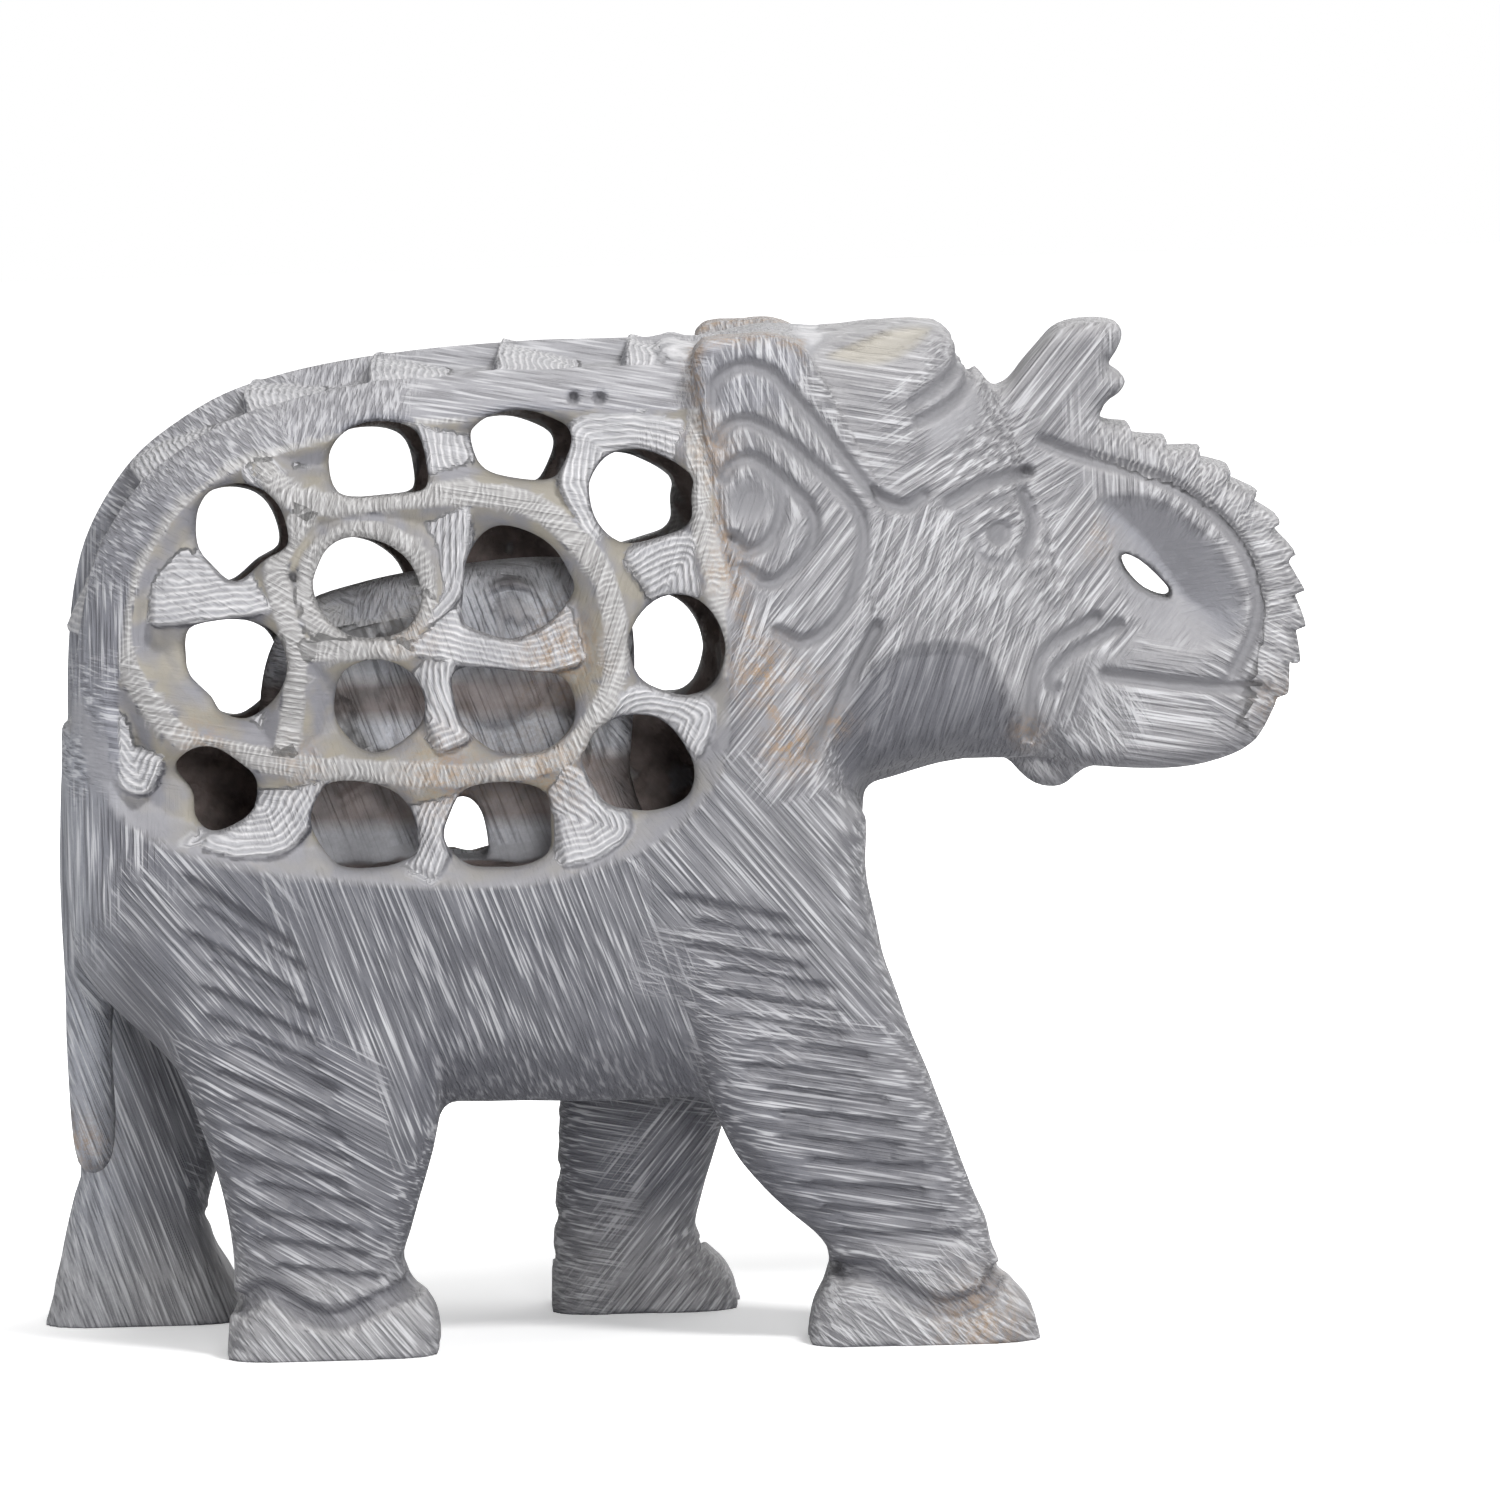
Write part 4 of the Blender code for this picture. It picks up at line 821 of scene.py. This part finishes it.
def measure_hollow(x, y, z, body_side):
    """How far each point belongs to the rough hollow, and how far to the calf in it."""
    room = hollow(x, y, z, body_side)
    outer = np.abs(y) > DRAWN_WIDTH / 2 - WALL - 1.5
    inside = np.clip(1.2 - room / 1.5, 0, 1) * (~outer | (room < 0.4))
    calf_side = slab(x, y, z, CALF, CALF_WIDTH / 2, CALF_ROUNDING)
    return inside, np.clip(1.5 - calf_side, 0, 1)


def measure_lattice(x, y, z, body_side, inside):
    """Where flanks and back have ribbed pads, hatched ridges, smooth slopes and scooped steps."""
    right_x, right_z = right_place(x, z)
    side = flank(np.where(y < 0, x, right_x), np.where(y < 0, z, right_z))
    holes = np.where(y < 0, hole_tools(HOLES + LEFT_HOLES, x, z),
                     hole_tools(HOLES, right_x, right_z))
    strip = back(x, y, z, side, body_side)
    on_strip = strip["strip"] > 0.5
    off_ear = outline_distance(EAR, x, z) >= 0.2
    carved = side["border"] > 0.6
    outside = inside < 0.5
    strip_rib = on_strip & (strip["height"] > strip["ridge"]) & (strip["rib"] > 0)
    ribbed = (side["padded"] & ~on_strip) | (strip_rib & (body_side > -4))
    slope = (side["ridge"] < -0.25) & (side["ridge"] >= side["height"]) & ~on_strip
    return {"rib": np.where(on_strip, strip["rib"], side["rib"]),
            "ribbed": ribbed & carved & outside & (holes > 0.2) & off_ear,
            "facet": slope & carved & outside & off_ear,
            "ridge_top": (side["ridge"] > -0.2) & carved & off_ear & ~on_strip,
            "scooped": on_strip & ~strip_rib & carved,
            "hatch": side["hatch"],
            "smooth": (side["border"] < RELIEF_DEPTH) & (side["border"] > 0.3) & off_ear}


def measure_head(x, y, z):
    """Where head, neck and trunk are grooved, planed, scooped or hatched."""
    lines, dish = head_cuts(x, z)
    lines = lines / GROOVE_DEPTH
    off_middle = np.abs(y) > GROOVE_INNER
    planed = np.clip(-outline_distance(FOREHEAD_PLANE, x, z), 0, 1) * (np.abs(y) > 6)
    smooth = np.maximum(np.clip(lines * 1.4, 0, 1) * off_middle, np.clip(dish / 1.5, 0, 1))
    (start_x, start_z), (end_x, end_z) = BOWL_LINE
    behind = (x - start_x) * (start_z - end_z) + (z - start_z) * (end_x - start_x)
    on_side = np.abs(y) > RECESS_INNER
    from_edge, along_edge = path_distance(TRUNK_EDGE, x, z)
    # the groove mask carries the painted shade in grooves, eye and drill holes
    return {"groove": np.clip(lines, 0, 1) * off_middle,
            "smooth": np.maximum(smooth, planed),
            "bowl_back": np.clip(dish / 1.5, 0, 1) * np.clip(behind / 15, 0, 1),
            # mask for the painted shade in the recess of the neck
            "neck": np.clip(-outline_distance(NECK, x, z) * 0.5, 0, 1) * on_side,
            "crown": np.clip(-outline_distance(CROWN_SCOOP, x, z) / 0.6, 0, 1) * on_side,
            "hatch": along_edge,
            "hatched": (from_edge < TRUNK_HATCH_WIDTH) & (dish < 0.3) & (along_edge > 0)}


def measure_stains(x, y, z):
    """How rusty the stone is, in its stains and along the rear rim of the ears."""
    rust = np.zeros(x.shape)
    for place_x, place_z, spread, strength in STAINS:
        distance = np.hypot(x - place_x, z - place_z)
        rust = np.maximum(rust, strength * np.exp(-(distance / spread) ** 2))
    ear_side = outline_distance(EAR, x, z)
    return {"rust": rust, "rim": np.exp(-(ear_side / 0.7) ** 2) * (x < 15) * (np.abs(y) > 15)}


def measure_stone(x, y, z):
    """What the material has to know at each point of the surface."""
    body_side = outline_distance(BODY, x, z)
    inside, calf_near = measure_hollow(x, y, z, body_side)
    lattice = measure_lattice(x, y, z, body_side, inside)
    head_marks = measure_head(x, y, z)
    on_edge = head_marks["hatched"]
    return {**lattice, **head_marks, **measure_stains(x, y, z), **stroke_shares(x, y, z),
            "inside": inside * (1 - calf_near), "calf": calf_near,
            "gouged": leg_cuts(x, y, z) / GOUGE_DEPTH,
            "smooth": np.maximum(head_marks["smooth"], lattice["smooth"]),
            "hatch": np.where(on_edge, head_marks["hatch"], lattice["hatch"]),
            "hatched": on_edge | lattice["ridge_top"]}


def place_elephant(material):
    """The carved elephant on its feet, with what the material reads stored at its points."""
    low, high, count = stone_block()
    x, y, z = [np.linspace(*side, dtype=np.float32) for side in zip(low, high, count)]
    form = carve_elephant(x[:, None, None], y[None, :, None], z[None, None, :])
    mesh = skin_field("soapstone_elephant", (low, high, count), form, material)
    elephant = bpy.data.objects.new("soapstone_elephant", mesh)
    bpy.context.scene.collection.objects.link(elephant)
    thin = elephant.modifiers.new("thin", "DECIMATE")
    thin.ratio = FACET_COUNT / sum(len(face.vertices) - 2 for face in mesh.polygons)
    evaluated = elephant.evaluated_get(bpy.context.evaluated_depsgraph_get())
    mesh = bpy.data.meshes.new_from_object(evaluated)
    elephant.modifiers.clear()
    elephant.data = mesh
    mesh.name = "soapstone_elephant"
    mesh.shade_smooth()

    points = np.zeros(len(mesh.vertices) * 3, dtype=np.float32)
    mesh.vertices.foreach_get("co", points)
    points = points.reshape(-1, 3) / MILLIMETRE
    for name, values in measure_stone(*points.T.astype(float)).items():
        stored = mesh.attributes.new(name, "FLOAT", "POINT")
        stored.data.foreach_set("value", float32(values).ravel())
    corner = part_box("elephant")[0]
    lowest = points.min(axis=0) * MILLIMETRE
    mesh.transform(Matrix.Translation(Vector(corner) - Vector([float(v) for v in lowest])))
    return elephant


# Linear colours of the stone, partly its own tone and partly painted light and shade: towards the
# rump and belly with painted shade, towards the head and top with painted light, and in the dark
# hollow
SHADED_BELLY_RUMP_GREY = (0.10, 0.102, 0.12, 1)
LIT_HEAD_TOP_GREY = (0.27, 0.267, 0.278, 1)
HOLLOW_DARK = (0.11, 0.085, 0.075, 1)
HOLLOW_PALE = (0.30, 0.24, 0.22, 1)

# What is laid over that grey: how much of it shows, and its colour
COATS = {
    "rump edge": (0.8, (0.36, 0.375, 0.42)),
    "worn foot": (0.55, (0.40, 0.395, 0.40)),
    "cloud": (0.2, (0.30, 0.297, 0.305)),
    # painted shade in the recess of the neck
    "neck": (0.9, (0.085, 0.086, 0.10)),
    "bowl back": (0.7, (0.20, 0.21, 0.25)),
    # painted light: the calf in the hollow is coloured far paler than the same stone outside
    "calf": (0.9, (0.66, 0.675, 0.73)),
    "scooped": (0.5, (0.24, 0.245, 0.28)),
    "grain": (0.3, (0.16, 0.16, 0.175)),
    # painted shade in the cuts of the file
    "file cut shade": (0.5, (0.07, 0.07, 0.083)),
    "file bruise": (0.52, (0.72, 0.72, 0.745)),
    # painted light on faces turned up, and painted shade on faces turned down
    "painted top light": (0.3, (0.56, 0.545, 0.545)),
    "painted underside shade": (0.6, (0.075, 0.076, 0.09)),
    "facet": (0.75, (0.225, 0.225, 0.25)),
    "ochre": (1.0, (0.29, 0.265, 0.21)),
    "smooth": (0.5, (0.30, 0.298, 0.315)),
    # painted shade in the grooves
    "groove": (0.5, (0.12, 0.12, 0.13)),
    # painted shade in the deepest part of the gouges
    "deep gouge shade": (0.55, (0.085, 0.085, 0.10)),
    "crown": (0.7, (0.44, 0.41, 0.35)),
    "ridge top": (0.4, (0.50, 0.485, 0.46)),
    "pad": (0.6, (0.42, 0.42, 0.44)),
    "rib": (1.0, (0.74, 0.73, 0.74)),
    "pale hatch": (0.42, (0.76, 0.75, 0.75)),
    "dark hatch": (0.28, (0.14, 0.135, 0.14)),
    "rust": (1.0, (0.30, 0.185, 0.085)),
}


class Stone(Nodes):
    """The stone's shader while it is built, with the colour laid on so far."""

    def __init__(self, tree):
        super().__init__(tree)
        scaled = self.vector("SCALE", self.node("ShaderNodeTexCoord").outputs["Object"])
        scaled.inputs["Scale"].default_value = 1 / MILLIMETRE
        self.place = scaled.outputs[0]
        self.across, _, self.height = self.node("ShaderNodeSeparateXYZ", {0: self.place}).outputs
        normal = self.node("ShaderNodeNewGeometry").outputs["Normal"]
        self.up = self.node("ShaderNodeSeparateXYZ", {0: normal}).outputs[2]
        self.colour = SHADED_BELLY_RUMP_GREY

    def patches(self, scale, detail, low, high, to_low=0.0, to_high=1.0):
        """A mask that comes and goes over the stone."""
        return self.ramp(self.noise(self.place, scale, detail), low, high, to_low, to_high)

    def lay(self, mask, colour):
        self.colour = self.blend(mask, self.colour, colour)

    def coat(self, mask, name):
        strength, colour = COATS[name]
        self.lay(self.times(mask, strength), (*colour, 1))


def file_marks_group():
    """Long thin file marks that lean by an angle: pale bruises, and painted shade in the cuts between
    them.
    """
    nodes, given, result = new_group(
        "file_marks", "ShaderNodeTree",
        {"Vector": "Vector", "Lean": "Float", "Pitch": "Float", "Length": "Float", "Seed": "Float"},
        {"Pale": "Float", "Dark": "Float"})
    turned = nodes.node("ShaderNodeVectorRotate", {"Vector": given["Vector"], "Angle": given["Lean"]},
                        rotation_type="Y_AXIS")
    across = nodes.math("DIVIDE", 1.0, given["Pitch"])
    around = nodes.times(across, 0.18)
    along = nodes.math("DIVIDE", 1.0, given["Length"])
    scale = nodes.node("ShaderNodeCombineXYZ", {0: across, 1: around, 2: along})
    moved = nodes.vector("ADD", nodes.vector("MULTIPLY", turned, scale), given["Seed"])
    streak = nodes.noise(moved, 1.0, detail=1.0, roughness=0.6)
    nodes.feed(result.inputs["Pale"], nodes.ramp(streak, 0.54, 0.66))
    nodes.feed(result.inputs["Dark"], nodes.ramp(streak, 0.47, 0.34))
    return nodes.tree


def file_marks(stone, neck):
    """Masks of the pale bruises and of the painted shade in the cuts that the file left, leaning as
    measured.
    """
    group = file_marks_group()
    bruise = shadow = 0.0
    for number, lean in enumerate(STROKE_LEANS):
        share = stone.ramp(stone.measured("strokes_" + str(lean)), 0.2, 0.55)
        marks = stone.node("ShaderNodeGroup", node_tree=group)
        for name, value in (("Vector", stone.place), ("Lean", math.radians(lean)),
                            ("Pitch", MARK_PITCH), ("Length", MARK_LENGTH), ("Seed", 7.0 * number)):
            stone.feed(marks.inputs[name], value)
        bruise = stone.math("MAXIMUM", bruise, stone.times(marks.outputs["Pale"], share))
        shadow = stone.math("MAXIMUM", shadow, stone.times(marks.outputs["Dark"], share))
    bare = stone.math("MAXIMUM", stone.measured("smooth"), stone.measured("facet"))
    bare = stone.math("MAXIMUM", bare, stone.measured("inside"))
    plain = stone.math("SUBTRACT", 1.0, bare, clamp=True)
    plain = stone.math("MULTIPLY_ADD", plain, 0.75, 0.25)
    bruise = stone.times(stone.times(bruise, stone.patches(0.09, 3.0, 0.35, 0.65, 0.6, 1.0)), plain)
    # fewer pale bruises in the neck recess, as part of the painted shade there
    bruise = stone.times(bruise, stone.math("MULTIPLY_ADD", neck, -0.7, 1.0))
    return bruise, stone.times(shadow, plain)


def lay_body_colours(stone, neck, grain, bruise, shadow):
    """The grey of the stone, darker low and towards the rump with painted shade and paler high and
    towards the head with painted light, partly its own tone, with its file marks and further painted
    light and shade.
    """
    # painted shade low and to the rear, painted light high and towards the head, over the stone's own
    # tone
    lit_head_and_top = stone.math("MULTIPLY_ADD", stone.height, 0.6, stone.times(stone.across, 0.7))
    stone.lay(stone.ramp(lit_head_and_top, 16, 62), LIT_HEAD_TOP_GREY)
    stone.coat(stone.ramp(stone.across, -54, -59), "rump edge")
    stone.coat(stone.ramp(stone.height, 13, 5), "worn foot")
    stone.coat(stone.ramp(stone.noise(stone.place, 0.16, 4.0, 0.6), 0.3, 0.7), "cloud")
    # painted shade in the recess of the neck
    stone.coat(neck, "neck")
    stone.coat(stone.measured("bowl_back"), "bowl back")
    # painted light on the calf inside the hollow
    stone.coat(stone.measured("calf"), "calf")
    stone.coat(stone.measured("scooped"), "scooped")
    stone.coat(stone.ramp(grain, 0.35, 0.7), "grain")
    # painted shade in the cuts of the file
    stone.coat(shadow, "file cut shade")
    stone.coat(bruise, "file bruise")
    # painted light on faces turned up, and painted shade on faces turned down
    stone.coat(stone.ramp(stone.up, 0.15, 0.9), "painted top light")
    stone.coat(stone.ramp(stone.up, -0.05, -0.6), "painted underside shade")


def lay_carved_colours(stone):
    """Slopes with ochre patches, smooth cuts, painted shade in the grooves and in the deepest part of
    the gouges, and worn ridges.
    """
    facet = stone.measured("facet")
    stone.coat(facet, "facet")
    stone.coat(stone.times(facet, stone.patches(0.22, 2.0, 0.4, 0.62, 0.05, 0.75)), "ochre")
    stone.coat(stone.measured("smooth"), "smooth")
    # painted shade in the grooves
    stone.coat(stone.measured("groove"), "groove")
    # painted shade in the deepest part of the gouges
    stone.coat(stone.ramp(stone.measured("gouged"), 0.45, 1.0), "deep gouge shade")
    stone.coat(stone.measured("crown"), "crown")
    stone.coat(stone.measured("ridge_top"), "ridge top")


def lay_ribs(stone, ribbed):
    """Fine pale ribs down the pads, and their wave for the relief."""
    wander = stone.noise(stone.place, 0.3, 2.0)
    along = stone.math("MULTIPLY_ADD", wander, 1.2, stone.measured("rib"))
    wave = stone.math("SINE", stone.times(along, 2 * math.pi / RIB_PITCH))
    stone.coat(ribbed, "pad")
    tone = stone.times(stone.ramp(wave, -1, 1), ribbed)
    stone.coat(stone.times(tone, stone.patches(0.45, 2.0, 0.3, 0.65, 0.25, 0.65)), "rib")
    return wave


def lay_hatching(stone, hatched):
    """Short pale and dark cuts across ridges and the trunk's edge, and their wave."""
    wander = stone.times(stone.noise(stone.place, 0.3, 2.0), 2.5)
    along = stone.math("ADD", stone.measured("hatch"), wander)
    wave = stone.math("SINE", stone.times(along, 2 * math.pi / HATCH_PITCH))
    stone.coat(stone.times(stone.ramp(wave, -0.2, 1), hatched), "pale hatch")
    stone.coat(stone.times(stone.ramp(wave, -0.2, -1), hatched), "dark hatch")
    return wave


def lay_hollow_and_rust(stone, inside):
    """The brown of the hollow, painted shadow bands in that brown across the calf, and the rusty
    stains.
    """
    brown = stone.blend(stone.patches(0.3, 3.0, 0.35, 0.65), HOLLOW_DARK, HOLLOW_PALE)
    stone.lay(stone.times(inside, 0.9), brown)
    calf_near = stone.measured("calf")
    # painted shadow bands across the calf under the lattice rings
    for low, high in CALF_SHADOW_BANDS:
        shadow_band = stone.times(stone.ramp(stone.height, low, low + 1.6),
                           stone.ramp(stone.height, high, high - 1.6))
        stone.lay(stone.times(stone.times(shadow_band, calf_near), 0.8), brown)
    speckle = stone.ramp(stone.noise(stone.place, 1.1, 4.0, 0.8), 0.42, 0.62)
    stained = stone.math("MAXIMUM", stone.measured("rust"), stone.times(stone.measured("rim"), 0.6))
    stone.coat(stone.times(stained, speckle), "rust")


def soapstone():
    """Filed soapstone: grey, scratched white, with ochre facets, rusty stains and a brown hollow."""
    material = bpy.data.materials.new("soapstone")
    material.use_nodes = True
    stone = Stone(material.node_tree)
    neck = stone.measured("neck")
    inside = stone.measured("inside")
    ribbed = stone.measured("ribbed")
    hatched = stone.times(stone.measured("hatched"), stone.patches(0.9, 2.0, 0.35, 0.65, 0.1, 0.9))
    grain = stone.noise(stone.place, 2.2, 3.0, 0.7)
    bruise, shadow = file_marks(stone, neck)
    lay_body_colours(stone, neck, grain, bruise, shadow)
    lay_carved_colours(stone)
    rib_wave = lay_ribs(stone, ribbed)
    hatch_wave = lay_hatching(stone, hatched)
    lay_hollow_and_rust(stone, inside)

    relief = stone.math("MULTIPLY_ADD", shadow, -0.10, stone.times(bruise, 0.05))
    relief = stone.math("MULTIPLY_ADD", rib_wave, stone.times(ribbed, 0.09), relief)
    relief = stone.math("MULTIPLY_ADD", hatch_wave, stone.times(hatched, 0.055), relief)
    relief = stone.math("MULTIPLY_ADD", grain, 0.05, relief)
    roughness = stone.math("MULTIPLY_ADD", inside, 0.5, 0.12)
    relief = stone.math("MULTIPLY_ADD", stone.noise(stone.place, 0.7, 3.0), roughness, relief)
    principled = material.node_tree.nodes["Principled BSDF"]
    stone.feed(principled.inputs["Base Color"], stone.colour)
    stone.feed(principled.inputs["Roughness"], stone.ramp(bruise, 0, 1, 0.55, 0.8))
    principled.inputs["Specular IOR Level"].default_value = 0.35
    bump = stone.node("ShaderNodeBump", {"Height": relief, "Strength": 1.0, "Distance": MILLIMETRE})
    stone.feed(principled.inputs["Normal"], bump)
    return material


def pale_floor():
    """A pale floor that fades into the white ground behind the figure."""
    mesh = bpy.data.meshes.new("floor")
    reach = 3.0
    mesh.from_pydata([(-reach, -reach, 0), (reach, -reach, 0), (reach, reach, 0), (-reach, reach, 0)],
                     [], [(0, 1, 2, 3)])
    floor = bpy.data.objects.new("floor", mesh)
    bpy.context.scene.collection.objects.link(floor)
    material = bpy.data.materials.new("pale_floor")
    material.use_nodes = True
    nodes = Nodes(material.node_tree)
    principled = material.node_tree.nodes["Principled BSDF"]
    principled.inputs["Base Color"].default_value = (0.93, 0.93, 0.93, 1)
    principled.inputs["Roughness"].default_value = 0.9
    place = nodes.node("ShaderNodeTexCoord").outputs["Object"]
    away = nodes.vector("LENGTH", place).outputs["Value"]
    seen = nodes.node("ShaderNodeLightPath").outputs["Is Camera Ray"]
    glow = nodes.times(nodes.ramp(away, 0.05, 0.17, 0.3, 1.0), seen)
    nodes.feed(principled.inputs["Emission Color"], nodes.blend(glow, (0, 0, 0, 1), (1, 1, 1, 1)))
    principled.inputs["Emission Strength"].default_value = 1.0
    mesh.materials.append(material)


# Each studio light: its place and size in metres, and its power in watts
LIGHTS = {
    "key_light": ((0.35, -0.60, 0.72), 0.18, 6.5),
    "front_light": ((0.12, -1.20, 0.20), 0.15, 5.0),
    "top_light": ((-0.1, 0.1, 1.0), 0.7, 2.7),
    "fill_light": ((-0.8, -0.8, 0.30), 0.8, 1.5),
    "rear_light": ((0.3, 1.1, 0.5), 0.8, 3.5),
}
LIGHT_AIM = (0, 0, 0.05)
SKY_STRENGTH = 0.34


def soft_light(name, place, size, power):
    light = bpy.data.lights.new(name, "AREA")
    light.shape = "SQUARE"
    light.size = size
    light.energy = power
    lamp = bpy.data.objects.new(name, light)
    lamp.location = place
    away = Vector(LIGHT_AIM) - Vector(place)
    lamp.rotation_euler = away.to_track_quat("-Z", "Y").to_euler()
    bpy.context.scene.collection.objects.link(lamp)


def studio():
    """Soft lights in a white room that lights the stone only faintly."""
    for name, (place, size, power) in LIGHTS.items():
        soft_light(name, place, size, power)
    world = bpy.data.worlds.new("studio")
    world.use_nodes = True
    nodes = Nodes(world.node_tree)
    seen = nodes.node("ShaderNodeLightPath").outputs["Is Camera Ray"]
    background = world.node_tree.nodes["Background"]
    background.inputs["Color"].default_value = (1, 1, 1, 1)
    nodes.feed(background.inputs["Strength"], nodes.ramp(seen, 0, 1, SKY_STRENGTH, 1.0))
    bpy.context.scene.world = world
    bpy.context.scene.view_settings.view_transform = "Standard"


# The camera stands far off, a little above the figure, and leans as the photograph does.
CAMERA_AIM = (0.0086, -0.020, 0.0595)
CAMERA_DISTANCE = 1.43
CAMERA_HEIGHT_ANGLE = math.radians(4.0)
CAMERA_LEAN = math.radians(-1.5)
FRAME_WIDTH = 0.150


def photo_camera():
    data = bpy.data.cameras.new("camera")
    data.sensor_width = 36.0
    data.lens = data.sensor_width * CAMERA_DISTANCE / FRAME_WIDTH
    camera = bpy.data.objects.new("camera", data)
    away = Vector((0, -math.cos(CAMERA_HEIGHT_ANGLE), math.sin(CAMERA_HEIGHT_ANGLE)))
    camera.location = Vector(CAMERA_AIM) + away * CAMERA_DISTANCE
    look = (-away).to_track_quat("-Z", "Y").to_matrix() @ Matrix.Rotation(CAMERA_LEAN, 3, "Z")
    camera.rotation_euler = look.to_euler()
    bpy.context.scene.collection.objects.link(camera)
    bpy.context.scene.camera = camera


photo_camera()
studio()
pale_floor()
elephant = place_elephant(soapstone())
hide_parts("elephant")
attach(elephant, "root")
